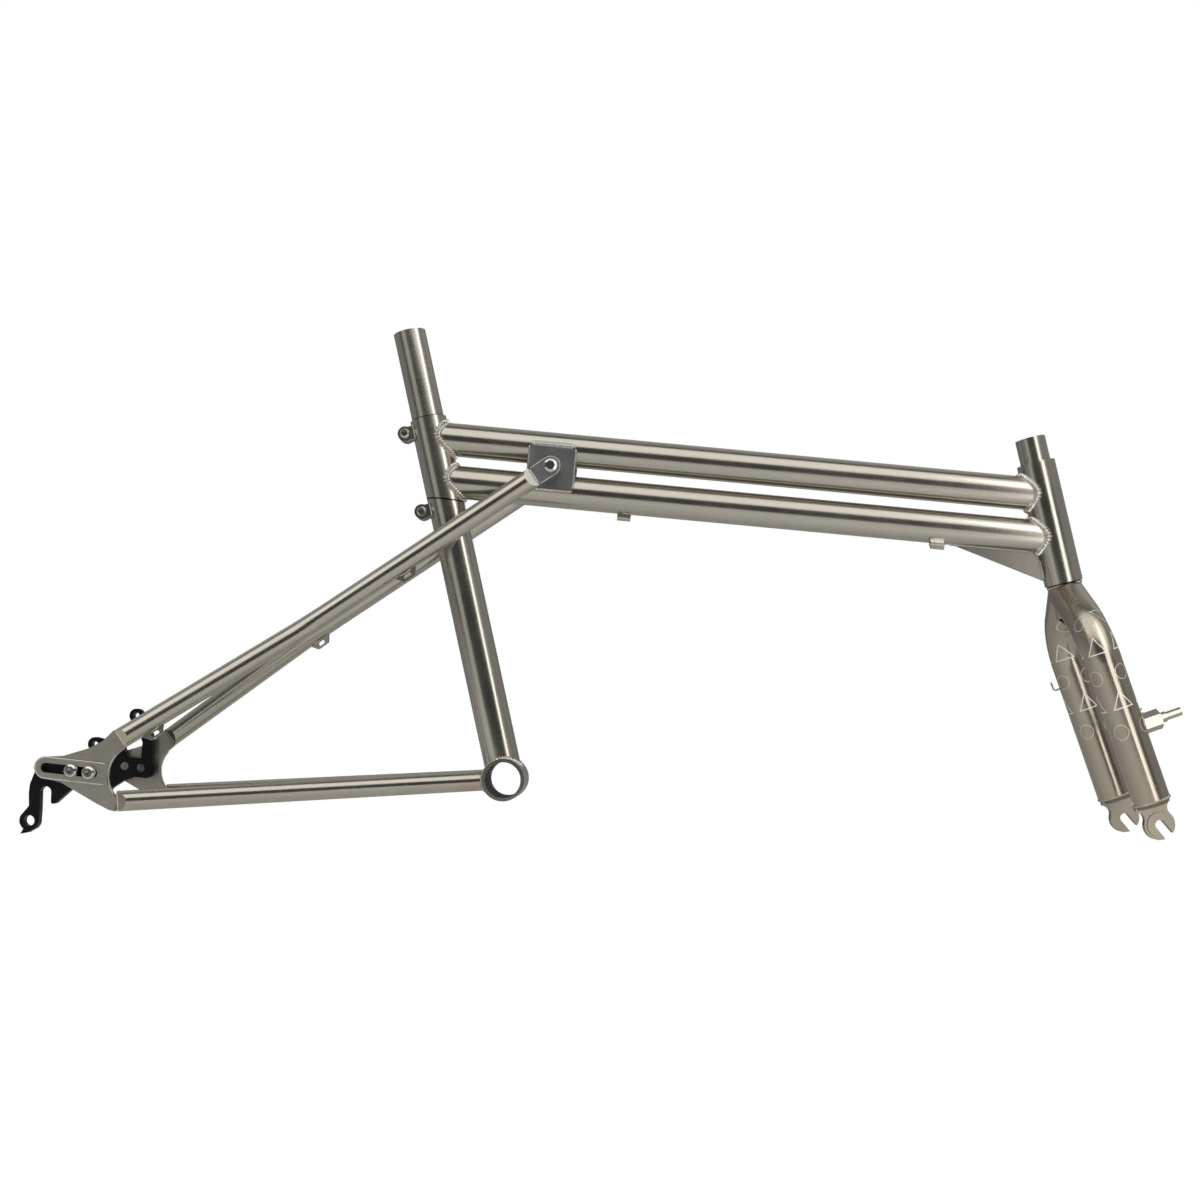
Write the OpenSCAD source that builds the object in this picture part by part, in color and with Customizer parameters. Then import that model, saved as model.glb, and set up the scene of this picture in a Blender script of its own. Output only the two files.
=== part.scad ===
// Folding bicycle frameset: front frame, rear triangle that folds under it, fork and seat post.
// Millimetres. Origin at the middle of the bottom bracket, +X forward, +Y to the rider's left, +Z up.

/* [Frame layout] */
// Angle of the seat tube above level, degrees
seat_angle = 76.1; // [74:0.1:78]
// Angle of the head tube above level, degrees
head_angle = 75.05; // [72:0.05:78]
// Drop of the two top tubes towards the head tube, degrees
top_slope = 3.6; // [2:0.1:6]
// Height of the upper top tube's axis straight above the bottom bracket
top_height = 323.6; // [318:0.2:330]
// Distance between the axes of the two top tubes
top_spacing = 40.6; // [38:0.2:46]
// Distance forward from the bottom bracket to the head tube's lower rim
head_reach = 535.9; // [500:0.5:600]
// Distance down the head tube from the lower top tube's axis to the lower rim
head_below = 45.2; // [40:0.1:60]
// Length of the head tube
head_len = 119.5; // [110:0.5:140]
// Distance forward from the bottom bracket to the fold pivot
pivot_reach = 36; // [30:0.5:50]
// Distance back from the bottom bracket to the rear axle
rear_reach = 417.8; // [400:0.2:440]
// Drop of both axles below the bottom bracket
axle_drop = 22; // [10:0.5:30]
// Forward offset of the front axle from the steering axis
fork_rake = 19.9; // [10:0.1:35]
// Distance down the steering axis from the head tube's lower rim to the front axle
fork_drop = 241.6; // [230:0.2:260]

/* [Seat tube and post] */
// Outer diameter of the seat tube and of the seat sleeve
seat_od = 34.9; // [34:0.1:38]
// Diameter of the seat post
post_d = 30.9; // [27.2:0.1:31.6]
// Wall of the seat post
post_wall = 1.6; // [1:0.1:3]
// Running clearance round the seat post, on the radius
post_clear = 0.05; // [0.02:0.01:0.1]
// Distance along the seat tube from the lower top tube's axis down to the split
split_below = 20.1; // [18:0.1:24]
// Gap between the two faces of the split
split_gap = 0.3; // [0.2:0.05:0.6]
// Distance along the seat tube from the upper top tube's axis up to the sleeve's top
sleeve_above = 18.2; // [17.5:0.1:30]
// Length of seat post that shows above the sleeve
post_out = 86; // [40:1:200]
// Length of seat post inside the sleeve
post_in = 66; // [50:1:68]
// Width of the clamping slots in the seat tube and sleeve
pinch_w = 2.4; // [1.5:0.1:4]
// Length of the clamping slots
pinch_len = 34; // [30:1:45]
// Distance of the binder bolts behind the seat tube's axis
binder_back = 24; // [23:0.2:27]
// Distance of each binder bolt below the end of its tube
binder_drop = 10.5; // [9:0.1:14]
// Radius of the binder lugs
binder_r = 7.2; // [6:0.1:8]
// Half width of the pair of binder lugs
binder_half = 8.5; // [7:0.1:11]
// Diameter of the binder bolts' shanks
binder_bolt = 5; // [4:0.5:6]

/* [Front frame] */
// Outer diameter of the two top tubes
top_od = 31.8; // [28:0.1:34]
// Wall of the two top tubes
top_wall = 1; // [0.8:0.1:2]
// Outer diameter of the head tube
head_od = 36.4; // [36:0.1:42]
// Bore of the head tube
head_bore = 34; // [33:0.1:35]
// Thickness of the gusset plate
gusset_t = 4; // [2:0.5:8]
// Length of the gusset along the lower top tube
gusset_len = 82; // [60:1:110]
// Height of the gusset's foot above the head tube's lower rim
gusset_foot = 6.4; // [3:0.2:15]
// Outer diameter of the cable guides
guide_od = 7; // [6.4:0.1:9]
// Bore of the cable guides
guide_bore = 5; // [4:0.1:5.6]
// Length of the cable guides
guide_len = 13; // [8:0.5:20]
// Distance of the single cable guide along the lower top tube
guide_rear_at = 111; // [60:1:300]
// Distance of the pair of cable guides along the lower top tube
guide_front_at = 418; // [320:1:430]
// Offset of the pair's left guide behind its right one
guide_stagger = 4; // [0:0.5:12]
// Angle of the paired guides round the tube from straight below, degrees
guide_turn = 27; // [24:1:40]

/* [Fold pivot] */
// Thickness of the pivot bracket's side plates
bracket_t = 3.6; // [3:0.1:6]
// Length of the pivot bracket along the top tubes
bracket_len = 43; // [38:0.5:60]
// Wall of the pivot bracket's end webs
bracket_web = 3; // [2:0.5:5]
// Radius of the threaded bosses inside the bracket
boss_r = 9.4; // [8:0.1:9.6]
// Depth of the threaded bosses
boss_depth = 7; // [5:0.5:7.2]
// Diameter of the pivot bolts
pivot_bolt_d = 8; // [6:0.5:10]
// Thickness of the stay tongues
tongue_t = 6; // [4:0.5:8]
// Width of the stay tongues
tongue_w = 18.5; // [17.5:0.5:19]
// Outer radius of the pivot bushes
bush_r = 6; // [5.4:0.1:7]
// Radius of the bushes' flanges
flange_r = 8.5; // [7.5:0.1:9]
// Thickness of the bushes' flanges
flange_t = 1; // [0.6:0.1:2]
// Running clearance of shafts in bushes and bearings, on the radius
run_clear = 0.06; // [0.02:0.01:0.1]
// Gap between faces that slide past each other
face_gap = 0.3; // [0.2:0.05:0.5]

/* [Rear triangle] */
// Outer diameter of the bottom bracket shell
bb_od = 40.6; // [39:0.2:44]
// Bore of the bottom bracket shell
bb_bore = 34; // [33.6:0.1:35]
// Width of the bottom bracket shell
bb_w = 68; // [68:1:73]
// Outer diameter of the four stays
stay_od = 19.05; // [17:0.05:20]
// Wall of the four stays
stay_wall = 1.2; // [0.9:0.1:2]
// Depth that a seat stay's weld bites into the seat tube
stay_bite = 0.35; // [0.2:0.05:0.6]
// Distance from the pivot to the seat stays' bend, seen from the side
stay_bend_at = 274.5; // [250:1:300]
// Bend radius of the seat stays
stay_bend_r = 110; // [60:5:160]
// Distance from the pivot to the front end of the seat stays
stay_nose_at = 19.5; // [18.5:0.1:24]
// Length of the closed noses at the stays' ends
stay_plug = 16; // [14:0.5:22]
// Distance of the chain stays' axes from the middle, at the bottom bracket
chain_stay_y = 18.5; // [15:0.5:22]
// Distance of the right seat stay's front hose guide from the pivot
right_hose_at = 171.5; // [120:0.5:250]
// Distance of the right seat stay's rear hose guide from the pivot
rear_hose_at = 444; // [300:1:455]
// Distance of the left seat stay's hose guide from the pivot
left_hose_at = 283; // [200:1:330]
// Length of a hose guide
hose_len = 16; // [12:0.5:24]
// Depth of a hose guide below its stay
hose_deep = 6.4; // [6:0.1:9]
// Thickness of a hose guide
hose_t = 4; // [3:0.5:6]

/* [Rear dropouts] */
// Distance between the faces that hold the rear hub
rear_hub = 135; // [130:1:142]
// Thickness of the sliding dropouts
slider_t = 8; // [6:0.5:10]
// Thickness of the dropout hoods' plates
hood_t = 6; // [4:0.5:8]
// Height of the raised pad round each hood's slot
pad_t = 1.6; // [0.8:0.1:3]
// Radius of the raised pad's round end
pad_r = 10.2; // [9:0.1:11]
// Slope of the hoods' slots, degrees down towards the front
slot_slope = 4.85; // [2:0.1:8]
// Width of the hoods' slots
slot_w = 9; // [8.6:0.1:10]
// Distance between the middles of the hood slot's two ends
slot_run = 43.2; // [40:0.1:46]
// Diameter of the slider bolts
slider_bolt_d = 8; // [6:0.5:8]
// Distance between the two slider bolts
slider_bolt_gap = 16.5; // [15:0.1:18]
// Distance from the slot's rear end to the rear slider bolt
slider_bolt_at = 23.8; // [22:0.1:26]
// Width of the rear axle slots
rear_slot_w = 10.2; // [10:0.1:10.6]
// Distance of the gear hanger's eye below the axle
hanger_drop = 27; // [24:0.5:32]
// Distance of the gear hanger's eye behind the axle
hanger_back = 14.5; // [12:0.5:17]
// Bore of the gear hanger's eye
hanger_bore = 10; // [9:0.1:10.4]
// Radius of the gear hanger's eye
hanger_r = 9; // [8:0.1:10]
// Distance between the two brake mount holes
brake_pitch = 51; // [50:0.5:74]
// Bore of the two brake mount holes
brake_bore = 6.2; // [6:0.1:6.6]
// Radius of the two brake mount ears
brake_ear_r = 7.2; // [6:0.1:8]

/* [Fork] */
// Diameter of the steerer tube
steerer_d = 28.6; // [25.4:0.1:28.6]
// Wall of the steerer tube
steerer_wall = 1.6; // [1.2:0.1:3]
// Depth of the turned grooves that mark the free ends of the steerer and the post
groove_deep = 0.4; // [0.2:0.1:0.6]
// Width of the turned grooves
groove_w = 0.8; // [0.5:0.1:1.5]
// Length of steerer above the head tube
steerer_out = 24.5; // [10:0.5:60]
// Length of steerer below the head tube
steerer_under = 33; // [31:0.5:40]
// Height of each headset bearing
bearing_h = 8; // [5:0.5:10]
// Depth of the headset bearings inside the head tube's rims
bearing_inset = 1; // [0.5:0.1:3]
// Outer diameter of the fork legs
leg_od = 34.4; // [30:0.2:36]
// Wall of the fork legs
leg_wall = 1.3; // [1:0.1:2.5]
// Distance of each lower leg from the middle
leg_y = 57; // [54:0.5:62]
// Distance of the legs' bend below the head tube
leg_bend_at = 51; // [44:0.5:56]
// Bend radius of the fork legs
leg_bend_r = 60; // [50:1:70]
// Slant of the upper legs from the steering axis, degrees
leg_slant = 54; // [52:0.2:58]
// Distance from the front axle to the end of the legs
leg_end_at = 23.5; // [22:0.5:30]
// Distance between the faces that hold the front hub
front_hub = 100; // [98:1:110]
// Thickness of the fork ends
fork_end_t = 7; // [5:0.5:9]
// Radius of the fork ends
fork_end_r = 14.4; // [13:0.1:17]
// Width of the front axle slots
front_slot_w = 9.2; // [9:0.1:10]
// Angle of the front axle slots below level, degrees
front_slot_angle = 48; // [40:1:60]
// Width of the fork ends' necks
fork_neck_w = 23; // [20:0.5:26]
// Radius of the fork ends' necks
fork_neck_r = 8; // [6:0.5:9]
// Height of the tapered caps that close the fork legs
fork_cap_h = 4.5; // [3:0.5:6]
// Distance of the carrier studs up the leg from the axle
stud_at = 94; // [80:1:120]
// Width of the studs' hexagons across the flats
stud_hex = 17; // [14:0.5:19]
// Length of the studs' hexagons
stud_hex_len = 15; // [8:0.5:20]
// Length of the studs' pins
stud_pin_len = 15; // [10:0.5:25]
// Diameter of the studs' pins
stud_pin_d = 8; // [6:0.2:9]
// Diameter of the wire hook
hook_wire = 1.8; // [1.2:0.1:3]
// Distance of the wire hook up the leg from the axle
hook_at = 143; // [120:1:160]
// Straight length of the wire hook off the leg
hook_stem = 3.5; // [2:0.5:10]
// Bend radius of the wire hook
hook_bend = 3; // [2:0.5:6]
// Length of the wire hook's upturned tip
hook_tip = 6; // [3:0.5:12]

/* [Hidden] */
$fn = 72;

titanium = "#8f877b";
dark_titanium = "#6f6b64";
fork_titanium = "#8a7d6c";
stainless = "#c8c6c2";
black = "#191919";
bronze = "#b08a4a";

// Cutting depth past a face
over = 1;
// Step and lap where a bent tube's straight runs meet its bend
bend_step = 0.1;
bend_lap = 0.6;
// Large size for cuts that take away a whole side
half_space = 200;

// Heights of the two top tubes' axes straight above the bottom bracket
upper_h = top_height;
lower_h = top_height - top_spacing / cos(top_slope);

// Direction of the seat tube's axis and places along it
seat_dir = [-cos(seat_angle), 0, sin(seat_angle)];
split_at = norm(seat_cross(lower_h)) - split_below;
split_point = split_at * seat_dir;
sleeve_top = norm(seat_cross(upper_h)) + sleeve_above;

// Height of the head tube's lower rim above the bottom bracket
head_rise = lower_h - (head_reach - head_below * cos(head_angle)) * tan(top_slope)
  - head_below * sin(head_angle);
post_bore_r = post_d / 2 + post_clear;
seat_r = seat_od / 2;
top_r = top_od / 2;
stay_r = stay_od / 2;
leg_r = leg_od / 2;
steerer_r = steerer_d / 2;

// Place of the fold pivot, midway between the top tubes
pivot_along = (pivot_reach + sin(top_slope) * top_spacing / 2) / cos(top_slope);
pivot = [pivot_reach, 0,
  top_height - sin(top_slope) * pivot_along - cos(top_slope) * top_spacing / 2];

// Stack across the pivot, from the middle outwards
bracket_out = top_r + bracket_t;
flange_in = bracket_out + face_gap;
tongue_in = flange_in + flange_t;
tongue_out = tongue_in + tongue_t;
bolt_head_at = tongue_out + face_gap;
pivot_head_r = 6.8;
pivot_head_h = 4.4;

// Stack across the rear dropouts, from the middle outwards
slider_in = rear_hub / 2;
slider_out = slider_in + slider_t;
slide_gap = 0.2;
hood_in = slider_out + slide_gap;
hood_out = hood_in + hood_t;
hood_mid = (hood_in + hood_out) / 2;
pad_out = hood_out + pad_t;
slider_head_r = 6.5;
slider_head_h = 4.2;

// The dropouts' outlines grow with the length of the hood's slot
function grown(points) = points * slot_run / 43.2;

// Places on the dropouts, from the rear axle: forward and up
rear_axle = [-rear_reach, 0, -axle_drop];
pad_rear = grown([2.1, 22.6]);
slot_dir = [cos(slot_slope), -sin(slot_slope)];
slot_front = pad_rear + slot_run * slot_dir;
seat_socket = grown([68.5, 51]);
chain_socket = grown([67.8, -6.4]);
hood_bay = grown([87, 17.3]);
hood_bay_r = grown(28.5);
hood_edge = [
  [2.1, 32.8], [17.8, 34], [40.8, 41.6], [53.3, 48.5], [63.1, 58.8], [75, 46.6], [68.3, 36.6],
  [87, 17.3], [68.4, -2.4], [66.2, -15.7], [60.5, -14.5], [48.7, -8.8], [15.8, 9.5], [1.1, 12.4]
];

// Outline of the gear hanger, from the axle, and of its tail, from its eye
hanger_eye = [-hanger_back, -hanger_drop];
hanger_edge = [
  [-8, 22], [-10.6, 18.1], [-14.7, 7], [-15.5, -1.1], [-15.1, -13.5], [-21.4, -21.2], [-14.5, -27],
  [-5.7, -28.6], [-4.9, -14], [0, -5], [4.9, -9.6], [6.6, -11], [9.2, -10.4], [23.5, 3.1],
  [50, 10], [50, 20]
];
hanger_tail = [[-6.2, -6.5], [-5.2, -7.6], [-7.8, -12.4], [-0.8, -11], [6.6, -6.1]];

// Outline of the brake side's slider, from the axle, and of its ears' arms, from their holes
brake_mid = grown([15.75, 56.9]);
brake_dir = [0.807, 0.59];
brake_body_edge = [
  [-8, 22], [-10.6, 18.1], [-14.7, 7], [-15.2, -8], [-12.4, -12.4], [-5.1, -12.4], [5.1, -12.4],
  [9.5, -7], [14.4, -1.6], [25.3, 5.9], [38.4, 10.7], [53, 12], [53.4, 15.6], [53.4, 48],
  [43.4, 48], [42.2, 29], [18, 30.5]
];
brake_web_edge = [[12, 20], [22, 20], [26, 36], [24, 42.5], [12, 44]];
high_ear_edge = [[-7.2, 0], [0.5, -7.2], [3.7, -16.9], [6.3, -25.9], [17.1, -25.9], [16.2, -17.9], [7.2, -1]];
low_ear_edge = [[-7.2, 0], [0.8, -19.9], [16.8, -17.9], [12, -11.5], [18.8, -0.9], [28.8, 0.6], [2, 7]];

// Seat stay line, seen from the side: from the pivot down to its socket
stay_foot = rear_axle + [seat_socket.x, 0, seat_socket.y];
stay_run = norm(stay_foot - pivot);
stay_fall = atan2(pivot.z - stay_foot.z, pivot.x - stay_foot.x);
stay_y = seat_r + stay_r - stay_bite;

// Chain stay line, seen from the side: from the bottom bracket down to its socket
chain_foot = rear_axle + [chain_socket.x, 0, chain_socket.y];
chain_run = norm(chain_foot);
chain_fall = atan2(-chain_foot.z, -chain_foot.x);
end_angle = 26;
end_inner = 50;

// Front axle and fork legs in the steering frame: forward, left, up the axis
front_axle = [fork_rake, 0, -fork_drop];
leg_knee = [0, -leg_y, -leg_bend_at];
leg_foot = [fork_rake, -leg_y, -fork_drop];
leg_dir = (leg_foot - leg_knee) / norm(leg_foot - leg_knee);
leg_tilt = atan2(leg_dir.x, -leg_dir.z);
leg_top = leg_knee + (leg_y + leg_r) * [0, 1, 1 / tan(leg_slant)];
crown_top = -1;

function unit(v) = v / norm(v);
function seat_cross(h) =
  let (x = -h / (tan(seat_angle) - tan(top_slope))) [x, 0, h - x * tan(top_slope)];
function head_cross(h) =
  let (x = (head_rise - h + head_reach * tan(head_angle)) / (tan(head_angle) - tan(top_slope)))
    [x, 0, h - x * tan(top_slope)];
function hex_r(flats) = flats / 2 / cos(30);

// Round bar between two points
module rod(p, q, r) {
  run = q - p;
  translate(p)
    rotate([0, acos(run.z / norm(run)), atan2(run.y, run.x)])
      cylinder(h = norm(run), r = r);
}

// Round bar from a to c with a bend of bend_r at b
module bent_rod(a, b, c, bend_r, r) {
  d1 = unit(b - a);
  d2 = unit(c - b);
  turn = acos(d1 * d2);
  cut = bend_r * tan(turn / 2);
  side = unit(d2 - (d1 * d2) * d1);
  mid = b - cut * d1 + bend_r * side;
  up = cross(-side, d1);
  multmatrix([
    [-side.x, d1.x, up.x, mid.x],
    [-side.y, d1.y, up.y, mid.y],
    [-side.z, d1.z, up.z, mid.z],
    [0, 0, 0, 1]
  ]) {
    rotate_extrude(angle = turn) translate([bend_r, 0]) circle(r = r);
    translate([bend_r, bend_lap, 0])
      rotate([90, 0, 0]) cylinder(h = norm(b - a) - cut + bend_lap, r = r - bend_step);
    rotate([0, 0, turn]) translate([bend_r, -bend_lap, 0])
      rotate([-90, 0, 0]) cylinder(h = norm(c - b) - cut + bend_lap, r = r - bend_step);
  }
}

// Frames that the pieces are drawn in
module on_seat() rotate([0, seat_angle - 90, 0]) children();
module on_head() translate([head_reach, 0, head_rise]) rotate([0, head_angle - 90, 0]) children();
module on_top() translate([0, 0, top_height]) rotate([0, top_slope, 0]) children();
module on_pivot() translate(pivot) rotate([0, top_slope, 0]) children();
module on_stay() translate(pivot) rotate([0, 180 - stay_fall, 0]) children();
module on_axle() translate(rear_axle) children();
module on_chain() rotate([0, 180 - chain_fall, 0]) children();
module on_leg() on_head() translate(leg_foot) rotate([0, -leg_tilt, 0]) children();

// The right side's piece, or its mirror image on the left
module on_side(left) mirror([0, left ? 1 : 0, 0]) children();

// Flat plate standing on edge, from y_in outwards on the right side
module plate(y_in, t) translate([0, -y_in, 0]) rotate([90, 0, 0]) linear_extrude(height = t) children();

// Bar along Y on the right side, from y_in outwards
module cross_bar(y_in, len, r) translate([0, -y_in, 0]) rotate([90, 0, 0]) cylinder(h = len, r = r);

// Flat strip with round ends
module strip(p, q, r) {
  translate(p) circle(r = r);
  translate(q) circle(r = r);
  translate(p)
    rotate(atan2(q.y - p.y, q.x - p.x))
      translate([0, -r]) square([norm(q - p), 2 * r]);
}

// Seat tube material and the cuts in it, along the seat axis
module seat_blank(low, high) on_seat() translate([0, 0, low]) cylinder(h = high - low, r = seat_r);
module seat_core(low, high) on_seat() translate([0, 0, low]) cylinder(h = high - low, r = post_bore_r);
module half_cut(up) {
  translate(split_point)
    rotate([0, top_slope, 0])
      translate([-half_space / 2, -half_space / 2, up ? -split_gap / 2 : split_gap / 2 - half_space])
        cube(half_space);
}

// Pair of lugs that carry a binder bolt behind the tube
module binder_lugs(at) {
  on_seat() translate([-binder_back, 0, at]) {
    cross_bar(-binder_half, 2 * binder_half, binder_r);
    translate([0, -binder_half, -binder_r + over])
      cube([binder_back - seat_r + 4, 2 * binder_half, 2 * binder_r - 2 * over]);
  }
}

// Slot and bolt hole that let the binder pinch its tube
module binder_cut(at, end) {
  on_seat() {
    translate([-binder_back - binder_r - over, -pinch_w / 2, end - pinch_len])
      cube([binder_back + binder_r + over, pinch_w, pinch_len + seat_r]);
    translate([-binder_back, 0, at])
      cross_bar(-binder_half - over, 2 * (binder_half + over), binder_bolt / 2);
  }
}

// Button-head bolt along Y on the right side: head outwards from y_head, shank inwards
module button_bolt(y_head, head_r, head_h, shank_r, shank_len, socket) {
  dome = head_h * 0.35;
  difference() {
    union() {
      translate([0, -y_head, 0]) rotate([90, 0, 0])
        rotate_extrude()
          polygon([[0, 0], [head_r, 0], [head_r, dome], [head_r * 0.88, head_h * 0.75],
            [head_r * 0.62, head_h], [0, head_h]]);
      cross_bar(y_head - shank_len, shank_len, shank_r);
    }
    translate([0, -y_head - head_h * 0.35, 0]) rotate([90, 0, 0])
      cylinder(h = head_h, r = hex_r(socket), $fn = 6);
  }
}

module head_tube() {
  color(titanium) on_head() difference() {
    cylinder(h = head_len, r = head_od / 2);
    translate([0, 0, -over]) cylinder(h = head_len + 2 * over, r = head_bore / 2);
  }
}

// One top tube, coped on the seat sleeve and the head tube
module top_tube(h) {
  difference() {
    rod(seat_cross(h), head_cross(h), top_r);
    rod(seat_cross(h), head_cross(h), top_r - top_wall);
    seat_blank(split_at - seat_od, sleeve_top + seat_od);
    on_head() translate([0, 0, -head_od]) cylinder(h = head_len + 2 * head_od, r = head_od / 2);
  }
}

module upper_top_tube() color(titanium) top_tube(upper_h);
module lower_top_tube() color(titanium) top_tube(lower_h);

module seat_sleeve() {
  at = sleeve_top - binder_drop;
  color(titanium) difference() {
    union() {
      seat_blank(split_at - seat_od, sleeve_top);
      binder_lugs(at);
    }
    seat_core(split_at - 2 * seat_od, sleeve_top + over);
    half_cut(false);
    binder_cut(at, sleeve_top);
  }
}

module head_gusset() {
  low = head_cross(lower_h);
  rear = [low.x - head_od / 2 - gusset_len, low.z + (head_od / 2 + gusset_len) * tan(top_slope)];
  foot_along = gusset_foot;
  foot = [
    head_reach - foot_along * cos(head_angle) - head_od / 2 * sin(head_angle),
    head_rise + foot_along * sin(head_angle) - head_od / 2 * cos(head_angle)
  ];
  color(titanium) difference() {
    translate([0, gusset_t / 2, 0]) rotate([90, 0, 0]) linear_extrude(height = gusset_t)
      polygon([[rear.x, rear.y - top_r + over], foot, foot + [head_od / 4, 0], [low.x, low.z], rear]);
    rod(seat_cross(lower_h), head_cross(lower_h), top_r);
    on_head() translate([0, 0, -head_od]) cylinder(h = head_len + head_od, r = head_od / 2);
  }
}

// Solid of both top tubes, for coping what sits on them
module top_tube_solids() {
  rod(seat_cross(upper_h), head_cross(upper_h), top_r);
  rod(seat_cross(lower_h), head_cross(lower_h), top_r);
}

module pivot_bracket() {
  plate_in = top_r - 0.5;
  reach = top_spacing / 2 + 1;
  color(dark_titanium) difference() {
    union() {
      on_pivot() difference() {
        translate([-bracket_len / 2, -bracket_out, -reach])
          cube([bracket_len, 2 * bracket_out, 2 * reach]);
        translate([-bracket_len / 2 + bracket_web, -plate_in, -reach - over])
          cube([bracket_len - 2 * bracket_web, 2 * plate_in, 2 * reach + 2 * over]);
      }
      on_pivot() for (s = [0, 1]) on_side(s == 1)
        cross_bar(bracket_out - boss_depth, boss_depth, boss_r);
    }
    top_tube_solids();
    on_pivot() for (s = [0, 1]) on_side(s == 1)
      cross_bar(bracket_out - boss_depth - over, boss_depth + 2 * over, pivot_bolt_d / 2);
  }
}

// Pivot bolt, screwed into the bracket's boss through the tongue and its bush
module pivot_bolt(left) {
  color(stainless) translate(pivot) on_side(left)
    button_bolt(bolt_head_at, pivot_head_r, pivot_head_h, pivot_bolt_d / 2,
      bolt_head_at - bracket_out + boss_depth, 5);
}

// Cable guide under the lower top tube, turned round the tube
module cable_guide(at, turn) {
  out = top_r + guide_od / 2 - 0.4;
  on_top() translate([at, 0, -top_spacing]) rotate([turn, 0, 0]) difference() {
    union() {
      translate([-guide_len / 2, 0, -out]) rotate([0, 90, 0]) cylinder(h = guide_len, r = guide_od / 2);
      translate([-guide_len / 2, -guide_od / 2, -out]) cube([guide_len, guide_od, guide_od / 2]);
    }
    translate([-guide_len / 2 - over, 0, -out])
      rotate([0, 90, 0]) cylinder(h = guide_len + 2 * over, r = guide_bore / 2);
    translate([-guide_len, 0, 0]) rotate([0, 90, 0]) cylinder(h = 2 * guide_len, r = top_r);
  }
}

module cable_guides() {
  color(titanium) {
    cable_guide(guide_rear_at, 0);
    cable_guide(guide_front_at, guide_turn);
    cable_guide(guide_front_at - guide_stagger, -guide_turn);
  }
}

// Binder bolt at a place along the seat tube
module binder_bolt_at(at) {
  on_seat() translate([-binder_back, 0, at])
    button_bolt(binder_half, 4.8, 4.4, binder_bolt / 2, 2 * binder_half, 4);
}

module upper_binder_bolt() color(stainless) binder_bolt_at(sleeve_top - binder_drop);
module lower_binder_bolt() color(stainless) binder_bolt_at(lower_binder_at());
function lower_binder_at() = split_at - binder_drop + 4;

// Headset bearing ring inside the head tube
module bearing(at) {
  color(stainless) on_head() translate([0, 0, at]) difference() {
    cylinder(h = bearing_h, r = head_bore / 2);
    translate([0, 0, -over]) cylinder(h = bearing_h + 2 * over, r = steerer_r + run_clear);
  }
}

module upper_bearing() bearing(head_len - bearing_inset - bearing_h);
module lower_bearing() bearing(bearing_inset);

// Turned groove round a tube
module groove(r, at) {
  translate([0, 0, at]) difference() {
    cylinder(h = groove_w, r = r + over);
    translate([0, 0, -over]) cylinder(h = groove_w + 2 * over, r = r - groove_deep);
  }
}

module seat_post() {
  low = sleeve_top - post_in;
  color(titanium) on_seat() translate([0, 0, low]) difference() {
    cylinder(h = post_in + post_out, r = post_d / 2);
    translate([0, 0, -over]) cylinder(h = post_in + post_out + 2 * over, r = post_d / 2 - post_wall);
    groove(post_d / 2, post_in + face_gap);
  }
}

module bb_blank() cross_bar(-bb_w / 2, bb_w, bb_od / 2);

module seat_tube() {
  color(titanium) difference() {
    union() {
      seat_blank(0, split_at + seat_od);
      binder_lugs(lower_binder_at());
    }
    seat_core(-over, split_at + 2 * seat_od);
    half_cut(true);
    binder_cut(lower_binder_at(), split_at);
    bb_blank();
  }
}

module bb_shell() {
  color(titanium) difference() {
    bb_blank();
    cross_bar(-bb_w / 2 - over, bb_w + 2 * over, bb_bore / 2);
  }
}

// Chain stay along local X from the bottom bracket to its socket on the hood
module chain_stay_blank(r, rear_cut) {
  from = [0, -chain_stay_y, 0];
  to = [chain_run, -hood_mid, 0];
  on_chain() rod(from, to - rear_cut * unit(to - from), r);
}

// Wedges that thin a stay's end down to the hood's plate, at the end of a stay along local X
module end_bevel(end) {
  for (s = [0, 1])
    translate([end, -hood_mid + (s - 0.5) * hood_t, 0])
      rotate([0, 0, s == 1 ? 90 - end_inner : end_angle - 180])
        translate([0, 0, -stay_od]) cube([2 * stay_od, 2 * stay_od, 2 * stay_od]);
}

module chain_stay(left) {
  color(titanium) on_side(left) difference() {
    chain_stay_blank(stay_r, 0);
    chain_stay_blank(stay_r - stay_wall, stay_plug);
    bb_blank();
    on_chain() end_bevel(chain_run);
  }
}

module right_chain_stay() chain_stay(false);
module left_chain_stay() chain_stay(true);

// Seat stay along local X from the pivot, bent outwards to its socket on the hood
module seat_stay_blank(r, front, rear_cut) {
  foot = [stay_run, -hood_mid, 0];
  knee = [stay_bend_at, -stay_y, 0];
  bent_rod([front, -stay_y, 0], knee, foot - rear_cut * unit(foot - knee), stay_bend_r, r);
}

module tongue_blank(len) {
  plate(tongue_in, tongue_t) {
    circle(d = tongue_w);
    translate([0, -tongue_w / 2]) square([len, tongue_w]);
  }
}

module seat_stay(left) {
  relief = bracket_out + face_gap;
  color(titanium) on_side(left) difference() {
    on_stay() difference() {
      seat_stay_blank(stay_r, stay_nose_at, 0);
      seat_stay_blank(stay_r - stay_wall, stay_nose_at + stay_plug, stay_plug);
      tongue_blank(stay_nose_at + stay_plug - 2);
      translate([0, -relief, -half_space / 2]) cube([bracket_len * 0.75, half_space, half_space]);
      translate([stay_nose_at, -tongue_out, -half_space / 2])
        rotate([0, 0, -52]) translate([-half_space / 2, -half_space / 2, 0])
          cube([half_space, half_space / 2, half_space]);
      end_bevel(stay_run);
    }
    seat_blank(0, split_at + seat_od);
  }
}

module right_seat_stay() seat_stay(false);
module left_seat_stay() seat_stay(true);

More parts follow.
